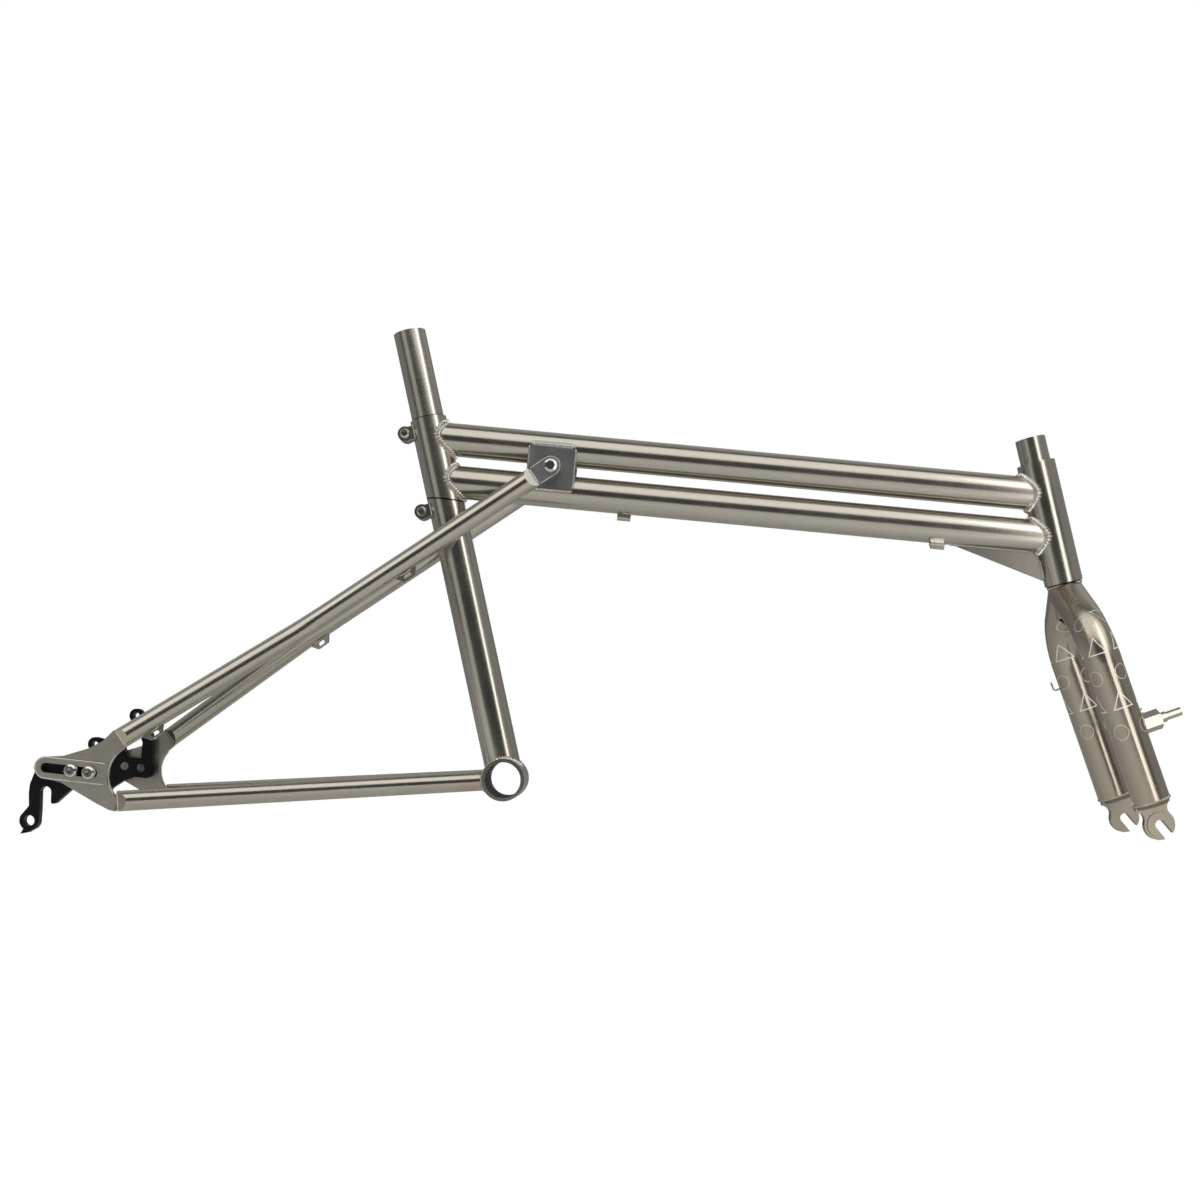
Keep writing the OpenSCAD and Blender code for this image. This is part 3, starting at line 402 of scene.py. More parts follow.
def plate_finish(name, colour, rough=0.34, swirl=False):
    """Machined titanium plate: short crossed scratches, or swirls from a sanding disc."""
    material, f = new_finish(name)
    p = f.place()
    cloud = f.noise(p, (45, 45, 45), 3.0)
    if swirl:
        bent = f.noise(p, (170, 60, 170), 1.0)
        side = f.add("ShaderNodeVectorMath", {"operation": "MULTIPLY"}, p, Vector((1, 0, 1)))
        ring = f.add("ShaderNodeTexWave", {"wave_type": "RINGS", "rings_direction": "SPHERICAL"},
            Vector=side, Scale=260.0, Distortion=14.0, Detail=3.0, **{"Detail Scale": 1.2})
        height, contrast, dark = ring * 0.6 + bent * 0.4, 1.1, 0.74
    else:
        cross = f.noise(p, (260, 30, 1500), 2.0)
        other = f.noise(p, (1300, 30, 240), 2.0)
        height, contrast, dark = cross * 0.5 + other * 0.5, 0.55, 0.82
    shade = height.swing(contrast) + cloud.swing(0.35) + 0.5
    metal = f.blend(shade, rgb(colour, dark), rgb(colour, 1.18))
    bump = f.add("ShaderNodeBump", None, Strength=0.3, Distance=0.00005, Height=height)
    close_finish(f, metal, cloud.swing(0.16) + height.swing(0.12) + rough, bump)
    return material


def polished_finish(name, colour, rough=0.16):
    """Polished stainless steel with faint turning marks."""
    material, f = new_finish(name)
    p = f.place()
    cloud = f.noise(p, (300, 300, 300), 2.0)
    marks = f.noise(p, (900, 900, 900), 2.0)
    bump = f.add("ShaderNodeBump", None, Strength=0.12, Distance=0.00004, Height=marks)
    close_finish(f, f.blend(cloud, rgb(colour, 0.85), rgb(colour, 1.1)), cloud.swing(0.1) + rough, bump)
    return material


def anodised_finish(name, colour):
    """Black anodised aluminium with a fine blasted grain."""
    material, f = new_finish(name)
    p = f.place()
    grain = f.noise(p, (1400, 1400, 1400), 2.0)
    cloud = f.noise(p, (60, 60, 60), 3.0)
    bump = f.add("ShaderNodeBump", None, Strength=0.25, Distance=0.00005, Height=grain)
    metal = f.blend(cloud.swing(0.8) + 0.5, rgb(colour, 0.7), rgb(colour, 1.5))
    close_finish(f, metal, grain.swing(0.15) + cloud.swing(0.15) + 0.38, bump, 0.85)
    return material


def weld_finish(name, colour, tint, amount):
    """Bright weld metal, with patches of a tint from its heat."""
    material, f = new_finish(name)
    p = f.place()
    cloud = f.noise(p, (120, 120, 120), 3.0)
    patch = f.noise(p, (55, 55, 55), 2.0).ramp(0.45, 0.7, 0.0, amount)
    grain = f.noise(p, (1600, 1600, 1600), 2.0)
    metal = f.blend(cloud.swing(0.9) + 0.5, rgb(colour, 0.82), rgb(colour, 1.12))
    bump = f.add("ShaderNodeBump", None, Strength=0.2, Distance=0.00005, Height=grain)
    close_finish(f, f.blend(patch, metal, rgb(tint)), cloud.swing(0.2) + 0.16, bump)
    return material


def give(material, *nodes):
    """Puts the material on CAD nodes, whose meshes stay as they are."""
    for node in nodes:
        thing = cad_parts[node]
        if not thing.material_slots:
            thing.data.materials.append(material)
        for place in thing.material_slots:
            place.link = "OBJECT"
            place.material = material


def outlined_motifs(f, p):
    """Mask of thin outlined rings and triangles in staggered rows round the leg, in metres."""
    cell, ring_r, ring_half, triangle_r, triangle_half = 0.027, 0.0070, 0.00032, 0.0052, 0.00055
    low_row, high_row = 0.0818, 0.2155
    x, y, z = f.split(p)
    turn = f.add("ShaderNodeMath", {"operation": "ARCTAN2"}, x, y) * (LEG_R * MM)
    row = f.add("ShaderNodeMath", {"operation": "FLOOR"}, z / cell)
    v = f.add("ShaderNodeMath", {"operation": "WRAP"}, z, cell, 0.0) - cell / 2
    u = f.add("ShaderNodeMath", {"operation": "WRAP"}, turn + row * (cell * 0.37), cell, 0.0) - cell / 2
    ring = abs(f.reach(u, v) - ring_r) < ring_half
    edge = f.add("ShaderNodeMath", {"operation": "MAXIMUM"}, abs(u) * 0.866 + v * 0.5, v * -1.0)
    triangle = abs(edge - triangle_r) < triangle_half
    odd = f.add("ShaderNodeMath", {"operation": "PINGPONG"}, row, 1.0)
    mask = ring * odd * 0.75 + triangle * (1.0 - odd)
    return mask * (z > low_row) * (z < high_row)


class FRAMESET_OT_finish_nodes(bpy.types.Operator):
    """Gives every CAD node its finish"""

    bl_idname = "frameset.finish_nodes"
    bl_label = "Finish the CAD nodes"

    def execute(self, context):
        c = context.scene.frameset_finish
        self.tubes(c)
        self.plates(c)
        self.small_parts(c)
        return {"FINISHED"}

    def tubes(self, c):
        give(tube_finish("brushed upper tube", c.tube, TOP_DIR, UPPER_AXIS), "upper_top_tube")
        give(tube_finish("brushed lower tube", c.tube, TOP_DIR, LOWER_AXIS), "lower_top_tube")
        cut = Vector((math.sin(TOP_SLOPE), 0, math.cos(TOP_SLOPE)))
        # The seat tube and sleeve get their split line painted black, as painted shade in the gap
        give(tube_finish("brushed seat tube", c.tube, SEAT_DIR, shaded_seam=(cut, cut.dot(SEAT_DIR * SPLIT))),
            "seat_tube", "seat_sleeve")
        # On the seat post, painted shade: a black band where it shows through the split gap, and a painted shadow line
        # just above the sleeve's top
        give(tube_finish("brushed seat post", c.tube, SEAT_DIR, rough=0.24,
            painted_shade_rings=((SPLIT, 2.0, GAP_SHADE_BLACK), (SLEEVE_TOP + 0.6, 0.7, DARK_STEEL_AND_SHADOW))), "seat_post")
        give(tube_finish("brushed head tube", c.tube, STEER_DIR, HEAD_FOOT), "head_tube", "steerer")
        # The bottom bracket's bore is painted dark inside as painted shade
        give(tube_finish("brushed bottom bracket", c.tube, ACROSS, bore=BB_THREAD_R), "bb_shell")
        for left, side in ((False, "right"), (True, "left")):
            start, end = mirrored(CHAIN_START, left), mirrored(CHAIN_END, left)
            by_shell = mirrored(Vector((-30, -24, -12)), left)
            give(tube_finish(f"brushed {side} chain stay", c.tube, end - start, start,
                heat=((by_shell, 24, BROWN, 0.4), (end, 20, STRAW, 0.25))), side + "_chain_stay")
            # The nose line is painted lighter: it is ground metal, and also a painted highlight of the nose's face
            facing = STAY_DIR * math.sin(NOSE_LEAN) + mirrored(ACROSS * math.cos(NOSE_LEAN), left)
            nose_at = facing.dot(mirrored(on_stay(NOSE_AT, NOSE_OUT, 0), left))
            by_nose, foot = on_stay(30, -27, 0), STAY_FOOT - ACROSS * HOOD_Y
            give(tube_finish(f"brushed {side} seat stay", c.tube, STAY_DIR, PIVOT, nose=(facing, nose_at),
                heat=((mirrored(by_nose, left), 20, STRAW, 0.35), (mirrored(foot, left), 20, STRAW, 0.25))),
                side + "_seat_stay")
            give(tube_finish(f"satin {side} fork leg", c.fork, LEG_DIR, mirrored(LEG_FOOT, left),
                rough=0.25, lines=0.6, motif=outlined_motifs), side + "_fork_leg")

    def plates(self, c):
        give(plate_finish("satin bracket", c.plate, 0.33), "pivot_bracket")
        give(plate_finish("blasted hood", [v * 0.92 for v in c.tube], 0.38), "right_hood", "left_hood")
        give(plate_finish("tongue plate", [v * 1.15 for v in c.plate]), "right_stay_tongue", "left_stay_tongue")
        give(plate_finish("swirled gusset", [v * 0.52 for v in c.tube], swirl=True), "head_gusset")
        give(plate_finish("satin fork ends", [v * 0.5 for v in c.fork]), "right_fork_end", "left_fork_end")
        give(plate_finish("guide titanium", c.tube), "cable_guides", "hose_guides")

    def small_parts(self, c):
        give(polished_finish("polished stainless", c.stainless), "right_pivot_bolt", "left_pivot_bolt",
            "upper_binder_bolt", "lower_binder_bolt", "right_slider_bolts", "left_slider_bolts",
            "upper_bearing", "lower_bearing")
        give(polished_finish("turned titanium", c.tube, 0.2), "right_fork_stud", "left_fork_stud", "hose_hook")
        give(polished_finish("dark steel race", DARK_STEEL_AND_SHADOW, 0.35), "crown_race")
        give(anodised_finish("black anodised", c.black), "right_slider", "left_slider")
        give(polished_finish("bush bronze", BRONZE, 0.3), "right_pivot_bush", "left_pivot_bush")


def meeting(axis_at, axis_dir, r, other_at, other_dir, other_r, near, steps=160, loop=False):
    """Points and outward normals where one tube's wall runs into another's, all in millimetres.

    Each line along the first tube's wall goes into the second and out again. The place nearer to near counts,
    or, for a loop round the touching place of two tubes side by side, both do.
    """
    along, other = Vector(axis_dir).normalized(), Vector(other_dir).normalized()
    side = along.cross(other).normalized()
    over = along.cross(side)
    found = []
    for i in range(steps):
        angle = 2 * math.pi * i / steps
        out = side * math.cos(angle) + over * math.sin(angle)
        p = Vector(axis_at) + out * r
        d, q = along - other * along.dot(other), p - Vector(other_at)
        q = q - other * q.dot(other)
        a, b, c = d.dot(d), q.dot(d), q.dot(q) - other_r ** 2
        root = b * b - a * c
        if root < 0:
            found.append(None)
            continue
        hits = []
        for sign in (-1, 1):
            hit = p + along * ((-b + sign * math.sqrt(root)) / a)
            wall = hit - Vector(other_at)
            hits.append((hit, (out + (wall - other * wall.dot(other)).normalized()).normalized()))
        found.append(hits)
    if not loop:
        return [min(hits, key=lambda h: (h[0] - Vector(near)).length) for hits in found if hits]
    start = next(i for i in range(steps) if found[i] is None)
    turned = [hits for hits in found[start:] + found[:start] if hits]
    return [hits[0] for hits in turned] + [hits[1] for hits in reversed(turned)]


def arc(middle, first, second, r, start, end, lift=None, steps=40):
    """Points and outward normals on a circle between two angles, in degrees."""
    made = []
    for i in range(steps + 1):
        angle = math.radians(start + (end - start) * i / steps)
        out = first * math.cos(angle) + second * math.sin(angle)
        made.append((middle + out * r, (out + (lift or Vector())).normalized()))
    return made


def line(middle, run, normal):
    """A straight path through the middle, which goes as far as the run each way."""
    out = Vector(normal).normalized()
    return [(middle - run, out), (middle + run, out)]


def even_steps(points, step, closed):
    """The path again, with points at even distances."""
    chain = points + ([points[0]] if closed else [])
    lengths = [0.0]
    for (a, _), (b, _) in zip(chain, chain[1:]):
        lengths.append(lengths[-1] + (b - a).length)
    count = max(1, round(lengths[-1] / step / RIPPLE_STEPS)) * RIPPLE_STEPS
    made, k = [], 0
    for i in range(count if closed else count + 1):
        goal = lengths[-1] * i / count
        while k < len(lengths) - 2 and lengths[k + 1] < goal:
            k += 1
        span = lengths[k + 1] - lengths[k]
        t = (goal - lengths[k]) / span if span > 1e-9 else 0.0
        made.append((chain[k][0].lerp(chain[k + 1][0], t), chain[k][1].lerp(chain[k + 1][1], t).normalized()))
    return made


def bead_rings(path, radius, closed, ripple, number):
    """Places of a bead's rings: each is a unit circle's matrix, wider in the middle of a ripple."""
    count = len(path)
    places = []
    for i, (p, normal) in enumerate(path):
        ahead = path[(i + 1) % count][0] if closed or i < count - 1 else p
        behind = path[i - 1][0] if closed or i > 0 else p
        run = (ahead - behind).normalized()
        phase = (i % RIPPLE_STEPS) / RIPPLE_STEPS
        swell = 1.08 - ripple + ripple * math.sin(math.pi * phase)
        swell += 0.08 * ripple * math.sin(i * 1.7 + number)
        if not closed:
            swell *= min(1.0, math.sqrt(min(i, count - 1 - i) / 7 + 0.02))
        up = (normal - run * normal.dot(run)).normalized()
        turn = Matrix((run.cross(up), up, run)).transposed().to_4x4()
        middle = p - up * radius * SINK
        places.append(Matrix.Translation(middle * MM) @ turn @ Matrix.Scale(radius * swell * MM, 4))
    return places


def swept_bead(places, closed):
    """A bmesh of one bead, extruded from ring to ring."""
    bm = bmesh.new()
    bmesh.ops.create_circle(bm, segments=RING_SIDES, radius=1.0, matrix=places[0])
    first = edges = bm.edges[:]
    for before, place in zip(places, places[1:]):
        grown = bmesh.ops.extrude_edge_only(bm, edges=edges)["geom"]
        edges = [g for g in grown if isinstance(g, bmesh.types.BMEdge)]
        corners = [g for g in grown if isinstance(g, bmesh.types.BMVert)]
        bmesh.ops.transform(bm, matrix=place @ before.inverted(), verts=corners)
    if closed:
        bmesh.ops.bridge_loops(bm, edges=first + edges)
    else:
        bmesh.ops.holes_fill(bm, edges=bm.edges[:])
    bmesh.ops.recalc_face_normals(bm, faces=bm.faces[:])
    return bm


def weld_bead(name, body, paths, material, ripple=0.46):
    """Beads swept along paths of (points with normals, radius, closed), as one piece on one body."""
    pitch = bpy.context.scene.frameset_finish.ripple
    whole = bmesh.new()
    for number, (points, radius, closed) in enumerate(paths):
        step = (pitch if radius > FINE_BEAD else pitch * 0.6) / RIPPLE_STEPS
        path = even_steps(points, step, closed)
        bm = swept_bead(bead_rings(path, radius, closed, ripple, number), closed)
        part = bpy.data.meshes.new("bead")
        bm.to_mesh(part)
        bm.free()
        whole.from_mesh(part)
        bpy.data.meshes.remove(part)
    for face in whole.faces:
        face.smooth = True
    mesh = bpy.data.meshes.new(name)
    whole.to_mesh(mesh)
    whole.free()
    piece = bpy.data.objects.new(name, mesh)
    bpy.context.scene.collection.objects.link(piece)
    mesh.materials.append(material)
    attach(piece, body)
    return piece


def lug_welds(at):
    """Weld paths of a binder lug at a place along the seat tube."""
    paths = []
    fore = ACROSS.cross(SEAT_DIR)
    for s in (-1, 1):
        foot = SEAT_DIR * at - fore * LUG_BACK + ACROSS * (s * LUG_SIDE)
        paths.append((line(foot, SEAT_DIR * LUG_HALF, ACROSS * s - fore * 0.8), LUG_BEAD, False))
    return paths


class FRAMESET_OT_main_welds(bpy.types.Operator):
    """Weld beads of the front frame: top tubes, pivot bracket, gusset, binder lug and cable guides"""

    bl_idname = "frameset.main_welds"
    bl_label = "Front frame welds"

    def execute(self, context):
        c = context.scene.frameset_finish
        bright = weld_finish("bright weld", c.weld, (0.50, 0.40, 0.28), 0.5)
        rim = polished_finish("ground edge", c.weld, 0.24)
        weld_bead("top_tube_welds", "main_frame", self.tube_ends(c.bead), bright)
        weld_bead("bracket_welds", "main_frame", self.bracket(c.bead), bright)
        weld_bead("bracket_rims", "main_frame", self.bracket_edges(), rim, 0.0)
        weld_bead("gusset_and_guide_welds", "main_frame", self.gusset() + self.guides(), bright)
        weld_bead("upper_lug_welds", "main_frame", lug_welds(UPPER_LUG), bright)
        return {"FINISHED"}

    def tube_ends(self, bead):
        """Round both ends of both top tubes."""
        paths = []
        for axis in (UPPER_AXIS, LOWER_AXIS):
            by_head, by_seat = (480, 0, axis.z - 32), (-40, 0, axis.z + 3)
            paths.append((meeting(axis, TOP_DIR, TOP_R, HEAD_FOOT, STEER_DIR, HEAD_R, by_head), bead, True))
            paths.append((meeting(axis, TOP_DIR, TOP_R, (0, 0, 0), SEAT_DIR, SEAT_R, by_seat), bead, True))
        return paths

    def bracket(self, bead):
        """Along the cheeks' upper and lower edges, and round the top tubes at the two webs."""
        paths = []
        for s in (-1, 1):
            for t, (out, share) in ((-1, LOWER_CHEEK), (1, UPPER_CHEEK)):
                middle = PIVOT + TOP_UP * (t * CHEEK_EDGE) + ACROSS * (s * out)
                edge = line(middle, TOP_DIR * CHEEK_HALF, ACROSS * s + TOP_UP * t * 1.4)
                paths.append((edge, bead * share, False))
        for t in (-1, 1):
            for end in (-1, 1):
                middle = PIVOT + TOP_UP * (t * TOP_SPACING / 2) + TOP_DIR * (end * WEB_AT)
                web = arc(middle, ACROSS, TOP_UP * -t, TOP_R, 4, 176, TOP_DIR * end)
                paths.append((web, bead * WEB_SHARE, False))
        return paths

    def bracket_edges(self):
        """Upright along the cheeks' front and rear edges."""
        paths = []
        for s in (-1, 1):
            for end in (-1, 1):
                middle = PIVOT + TOP_DIR * (end * RIM_AT) + ACROSS * (s * CHEEK_Y)
                paths.append((line(middle, TOP_UP * RIM_HALF, ACROSS * s + TOP_DIR * end), BRACKET_RIM, False))
        return paths

    def gusset(self):
        """Along the gusset's two sides, under the lower tube and down the head tube."""
        paths = []
        for s in (-1, 1):
            under = on_top(UNDER_TUBE_AT, s * GUSSET_SIDE, UNDER_TUBE_OUT)
            behind = on_head(HEAD_WELD_OUT, s * GUSSET_SIDE, HEAD_WELD_AT)
            paths.append((line(under, TOP_DIR * UNDER_TUBE_HALF, (0, s, -1)), GUSSET_BEAD, False))
            paths.append((line(behind, STEER_DIR * HEAD_WELD_HALF, (-1, s, 0)), GUSSET_BEAD, False))
        return paths

    def guides(self):
        """Beside each cable guide, on both sides."""
        paths = []
        for along, turn in CABLE_GUIDES:
            turn = math.radians(turn)
            for s in (-1, 1):
                lean = turn + s * GUIDE_LEAN
                foot = on_top(along, math.sin(lean) * TOP_R, -math.cos(lean) * TOP_R)
                out = ACROSS * (math.sin(turn) + s * math.cos(turn)) - TOP_UP * (math.cos(turn) - s * math.sin(turn))
                paths.append((line(foot, TOP_DIR * GUIDE_HALF, out), GUIDE_BEAD, False))
        return paths


class FRAMESET_OT_rear_welds(bpy.types.Operator):
    """Weld beads of the rear triangle: bottom bracket, stays, tongues, hoods and lugs"""

    bl_idname = "frameset.rear_welds"
    bl_label = "Rear triangle welds"

    def execute(self, context):
        c = context.scene.frameset_finish
        bright = weld_finish("bright rear weld", c.weld, (0.50, 0.36, 0.22), 0.6)
        ground = polished_finish("ground hood edge", c.weld, 0.24)
        shell, stays, ends, guides, rims, tongue_rims = [], [], [], [], [], []
        bb = meeting((0, 0, 0), SEAT_DIR, SEAT_R, (0, 0, 0), ACROSS, BB_R, SEAT_DIR * 25)
        shell.append((bb, c.bead * 0.72, True))
        for left in (False, True):
            shell.append(self.chain_stay(left, c.bead))
            stays += self.seat_stay(left, c.bead)
            ends += self.stay_ends(left)
            guides += self.hose_guides(left)
            rims += self.hood_edges(left)
            tongue = round_end(left, PIVOT, STAY_DIR, TONGUE_R, TONGUE_OUT, TONGUE_REACH)
            tongue_rims.append((tongue, TONGUE_RIM, False))
        guides += lug_welds(LOWER_LUG)
        weld_bead("bottom_bracket_welds", "rear_triangle", shell, bright)
        weld_bead("seat_stay_welds", "rear_triangle", stays, bright)
        weld_bead("hood_welds", "rear_triangle", ends, bright)
        weld_bead("hood_rims", "rear_triangle", rims, ground, 0.0)
        weld_bead("tongue_rims", "rear_triangle", tongue_rims, ground, 0.0)
        weld_bead("lug_and_guide_welds", "rear_triangle", guides, bright)
        return {"FINISHED"}

    def chain_stay(self, left, bead):
        """Round a chain stay's front end on the bottom bracket."""
        start, run = mirrored(CHAIN_START, left), mirrored(CHAIN_END - CHAIN_START, left)
        path = meeting(start, run, STAY_R, (0, 0, 0), ACROSS, BB_R, start + CHAIN_DIR * 25)
        return path, bead * 0.62, True

    def seat_stay(self, left, bead):
        """Round a seat stay's touch on the seat tube, clear of its bore, and across the stay's nose."""
        s = 1 if left else -1
        touch = meeting(PIVOT + ACROSS * (s * STAY_Y), STAY_DIR, STAY_R + 1.0, (0, 0, 0), SEAT_DIR, SEAT_R + 1.2,
            (0, 0, 0), loop=True)
        nose = line(mirrored(on_stay(18.9, -27.1, 0), left), STAY_DOWN * 8.2, ACROSS * s * 1.2 - STAY_DIR)
        return [(touch, bead * 0.55, True), (nose, NOSE_BEAD, False)]

    def stay_ends(self, left):
        """Across the ends of the two stays, on both faces of their hood."""
        s = 1 if left else -1
        paths = []
        for foot, way in ((STAY_FOOT, STAY_DIR), (CHAIN_FOOT, CHAIN_DIR)):
            over = way.cross(ACROSS)
            for t in (-1, 1):
                edge = foot + ACROSS * (s * (HOOD_Y + t * HOOD_HALF)) - way * 0.5
                paths.append((line(edge, over * 8.8, ACROSS * s * t + way), STAY_END_BEAD, False))
        return paths

    def hose_guides(self, left):
        """Beside each hose guide under a seat stay, on both sides."""
        s = 1 if left else -1
        paths = []
        for at in LEFT_HOSE_GUIDES if left else RIGHT_HOSE_GUIDES:
            past = max(0, at - STAY_BEND)
            y = STAY_Y + past * (HOOD_Y - STAY_Y) / (STAY_RUN - STAY_BEND)
            for t in (-1, 1):
                side = ACROSS * (s * y + t * HOSE_GUIDE_SIDE)
                foot = PIVOT + STAY_DIR * at + side + STAY_DOWN * HOSE_GUIDE_DOWN
                way = ACROSS * t + STAY_DOWN
                paths.append((line(foot, STAY_DIR * HOSE_GUIDE_HALF, way), HOSE_GUIDE_BEAD, False))
        return paths

    def hood_edges(self, left):
        """Round a hood's slotted pad and the bay between its two wings."""
        pad = round_end(left, REAR_AXLE + PAD_REAR, SLIDE_DIR, PAD_R, PAD_OUT, 55.0)
        out = ACROSS * (1 if left else -1)
        bay = arc(BAY + out * HOOD_OUT, Vector((-1, 0, 0)), Vector((0, 0, 1)), BAY_R, -38, 42, out)
        return [(pad, PAD_RIM, False), (bay, BAY_RIM, False)]


def round_end(left, middle, way, r, y, reach, steps=24):
    """Edge of a strip of plate with one round end: back to the end's middle, round it and away again."""
    out = ACROSS * (1 if left else -1)
    over = ACROSS.cross(way)
    end = middle + out * y
    path = [(end + over * r + way * reach, over + out)]
    for i in range(steps + 1):
        angle = math.pi * i / steps
        edge = over * math.cos(angle) - way * math.sin(angle)
        path.append((end + edge * r, edge + out))
    path.append((end - over * r + way * reach, out - over))
    return [(p, n.normalized()) for p, n in path]


class FRAMESET_OT_fork_welds(bpy.types.Operator):
    """Weld beads of the fork: crown, end caps and studs"""

    bl_idname = "frameset.fork_welds"
    bl_label = "Fork welds"

    def execute(self, context):
        c = context.scene.frameset_finish
        satin = weld_finish("satin fork weld", [v * 1.1 for v in c.fork], (0.50, 0.38, 0.26), 0.3)
        crown = [(self.ring(on_head(0, 0, -1.6), STEER_FORE, STEERER_R + 1.6, STEER_DIR), CROWN_BEAD, True)]
        ends = self.leg(False) + self.leg(True)
        weld_bead("crown_weld", "fork", crown, satin)
        weld_bead("fork_end_welds", "fork", ends, satin)
        return {"FINISHED"}

    def ring(self, middle, fore, r, lift=None):
        """A whole circle across a tube, without its last point, which is its first."""
        return arc(middle, fore, ACROSS, r, 0, 360, lift, 90)[:-1]

    def leg(self, left):
        """Round a leg's end cap, across both faces of its fork end and round its stud."""
        foot = mirrored(LEG_FOOT, left)
        s = 1 if left else -1
        paths = [(self.ring(foot + LEG_DIR * CAP_AT, LEG_FORE, LEG_R - 0.3), LEG_BEAD, True)]
        for t, face in ((-1, END_INNER_FACE), (1, END_OUTER_FACE)):
            edge = Vector((foot.x, s * face, foot.z)) + LEG_DIR * END_AT
            paths.append((line(edge, LEG_FORE * END_HALF, ACROSS * s * t - LEG_DIR), LEG_BEAD, False))
        stud = foot + LEG_DIR * STUD_AT
        root = meeting(stud, LEG_FORE, STUD_R, foot, LEG_DIR, LEG_R, stud + LEG_FORE * 20)
        paths.append((root, STUD_BEAD, True))
        return paths


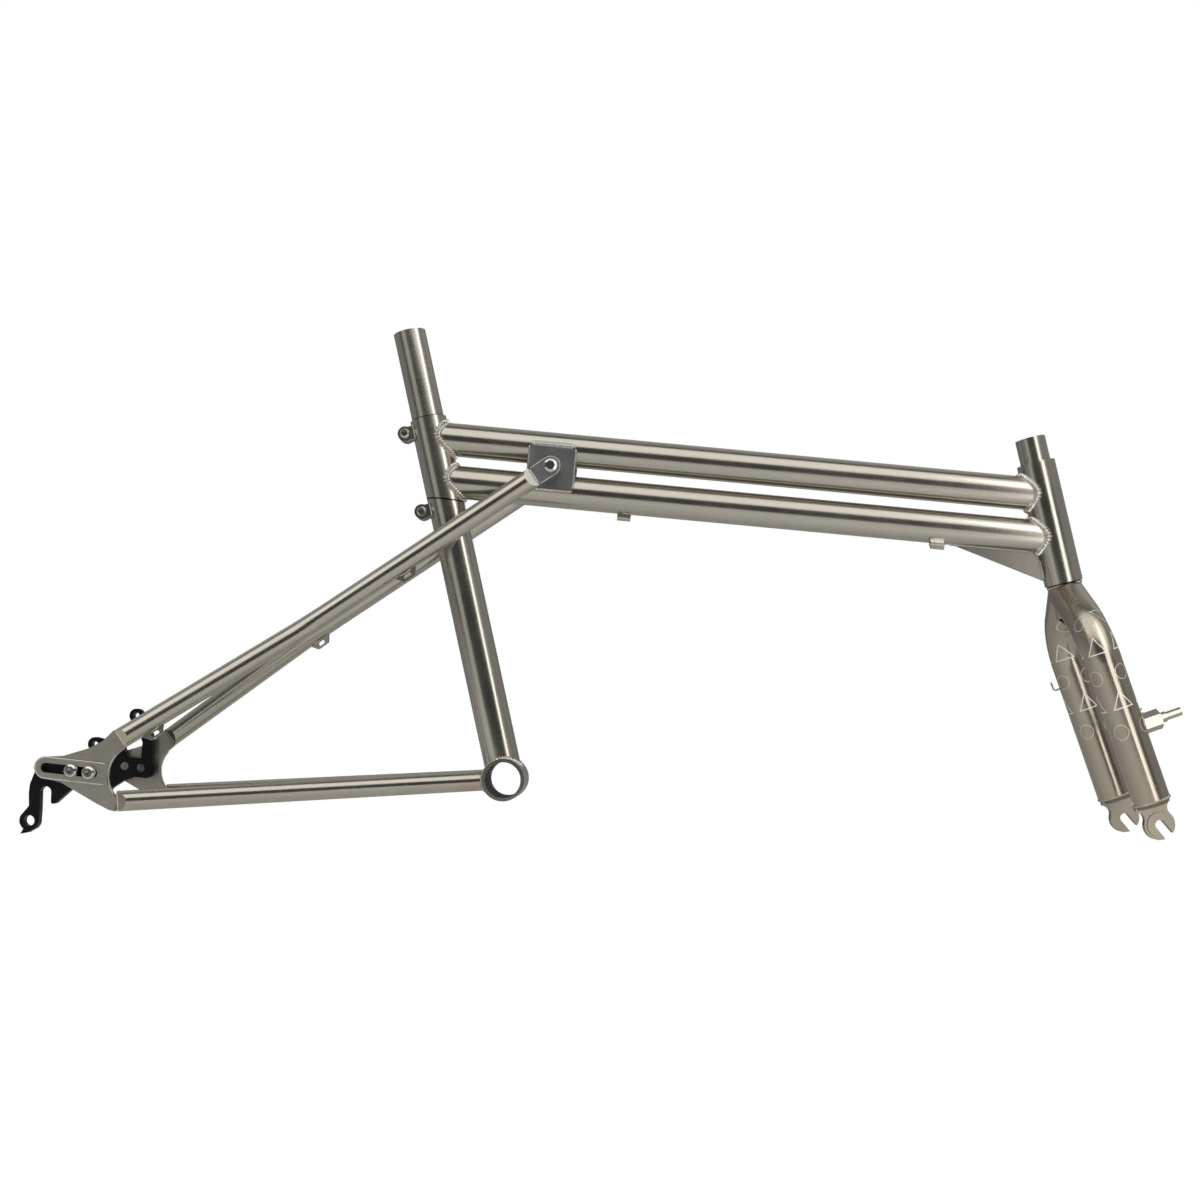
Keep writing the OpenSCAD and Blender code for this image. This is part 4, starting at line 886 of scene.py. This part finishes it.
class FRAMESET_OT_stage(bpy.types.Operator):
    """Floor, backdrop, lights and camera"""

    bl_idname = "frameset.stage"
    bl_label = "Studio"

    def execute(self, context):
        studio = context.scene.frameset_studio
        bm = bmesh.new()
        bmesh.ops.create_circle(bm, cap_ends=True, segments=64, radius=FLOOR_R,
            matrix=Matrix.Translation((MIDDLE.x, 0, studio.floor)))
        mesh = bpy.data.meshes.new("floor")
        bm.to_mesh(mesh)
        bm.free()
        floor = bpy.data.objects.new("floor", mesh)
        context.scene.collection.objects.link(floor)
        mesh.materials.append(self.floor_finish())
        for name, turn, rise, distance, size, share in LAMPS:
            self.light(context, name, turn, rise, distance, size, studio.key * share)
        self.world(context)
        self.camera(context, studio)
        context.scene.view_settings.view_transform = "Standard"
        return {"FINISHED"}

    def light(self, context, name, turn, rise, distance, size, level):
        """A soft light round the frameset, turned to the right of the camera and raised, in degrees."""
        turn, rise = math.radians(turn), math.radians(rise)
        way = Vector((math.sin(turn) * math.cos(rise), -math.cos(turn) * math.cos(rise), math.sin(rise)))
        lamp = bpy.data.lights.new(name, "AREA")
        lamp.shape, lamp.size, lamp.size_y = "RECTANGLE", *size
        lamp.energy = level * math.pi * size[0] * size[1]
        thing = bpy.data.objects.new(name, lamp)
        thing.location = MIDDLE + way * distance
        thing.rotation_euler = way.to_track_quat("Z", "Y").to_euler()
        context.scene.collection.objects.link(thing)

    def floor_finish(self):
        """White floor for the camera and in the metal, which still takes the frameset's soft shadow."""
        material, f = new_finish("pale floor")
        seen = f.add("ShaderNodeMath", {"operation": "MAXIMUM"}, f.ray("Is Camera Ray"), f.ray("Is Transmission Ray"))
        x, y = f.split(f.place())[:2]
        shown = seen * f.reach(x, y).ramp(0.7, 1.9, 0.70, 1.0)
        reflected = f.ray("Is Glossy Ray") * y.ramp(-1.3, 0.3, 0.20, 0.03)
        diffuse = f.add("ShaderNodeBsdfDiffuse", None, Color=FLOOR_GREY)
        glow = f.add("ShaderNodeEmission", None, Color=WHITE, Strength=shown + reflected)
        f.surface(f.add("ShaderNodeAddShader", None, diffuse, glow))
        return material

    def world(self, context):
        """White behind the frameset, dim round the camera and grey at the sides."""
        world = bpy.data.worlds.new("studio")
        world.use_nodes = True
        world.node_tree.nodes.clear()
        f = Finish(world.node_tree)
        x, y, z = f.split(f.add("ShaderNodeTexCoord", output="Generated"))
        # Degrees to the right of the camera's side, and brightness by that turn
        turn = f.add("ShaderNodeMath", {"operation": "ARCTAN2"}, x, y * -1.0) * (180 / math.pi)
        right, left = turn.ramp(42, 62, 0.06, 0.36), (turn * -1.0).ramp(60, 85, 0.0, 0.26)
        behind = abs(turn).ramp(115, 160, 0.0, 0.12)
        overhead, high_behind = z.ramp(0.80, 0.97, 1.0, 0.35), abs(turn).ramp(95, 130) * z.ramp(0.3, 0.6, 0.0, 0.3)
        level = (right + left - behind) * overhead + high_behind
        shade = f.add("ShaderNodeBackground", None, Color=WHITE, Strength=level)
        white = f.add("ShaderNodeBackground", None, Color=WHITE, Strength=1.0)
        mixed = f.add("ShaderNodeMixShader", None, f.ray("Is Camera Ray"), shade, white)
        f.surface(mixed, "ShaderNodeOutputWorld")
        context.scene.world = world

    def camera(self, context, studio):
        """A level camera square to the frameset's right side, with its view shifted to frame the part."""
        lens = bpy.data.cameras.new("camera")
        lens.sensor_width, lens.lens = 36, studio.lens
        lens.shift_x, lens.shift_y = SHIFT_X, SHIFT_Y
        lens.clip_start, lens.clip_end = 0.05, 50
        eye = bpy.data.objects.new("camera", lens)
        up = CAMERA_UP.normalized()
        turn = Matrix((ACROSS.cross(up), up, -ACROSS)).transposed()
        eye.matrix_world = Matrix.Translation((CAMERA_X, -studio.distance, CAMERA_Z)) @ turn.to_4x4()
        context.scene.collection.objects.link(eye)
        context.scene.camera = eye


class FRAMESET_PT_panel(bpy.types.Panel):
    """Shows the frameset's settings and its steps' buttons in the sidebar"""

    bl_idname = "FRAMESET_PT_panel"
    bl_label = "Frameset"
    bl_space_type = "VIEW_3D"
    bl_region_type = "UI"
    bl_category = "Frameset"

    def draw(self, context):
        for group in (context.scene.frameset_finish, context.scene.frameset_studio):
            for name in group.__annotations__:
                self.layout.prop(group, name)
        for operator in OPERATORS:
            self.layout.operator(operator.bl_idname)


OPERATORS = (FRAMESET_OT_finish_nodes, FRAMESET_OT_main_welds, FRAMESET_OT_rear_welds, FRAMESET_OT_fork_welds,
             FRAMESET_OT_stage)
CLASSES = (FramesetFinish, FramesetStudio, *OPERATORS, FRAMESET_PT_panel)


def register():
    for kind in CLASSES:
        bpy.utils.register_class(kind)
    bpy.types.Scene.frameset_finish = bpy.props.PointerProperty(type=FramesetFinish)
    bpy.types.Scene.frameset_studio = bpy.props.PointerProperty(type=FramesetStudio)


def unregister():
    del bpy.types.Scene.frameset_studio
    del bpy.types.Scene.frameset_finish
    for kind in reversed(CLASSES):
        bpy.utils.unregister_class(kind)


def main():
    register()
    bpy.ops.frameset.finish_nodes()
    bpy.ops.frameset.main_welds()
    bpy.ops.frameset.rear_welds()
    bpy.ops.frameset.fork_welds()
    bpy.ops.frameset.stage()


if __name__ == "__main__":
    main()
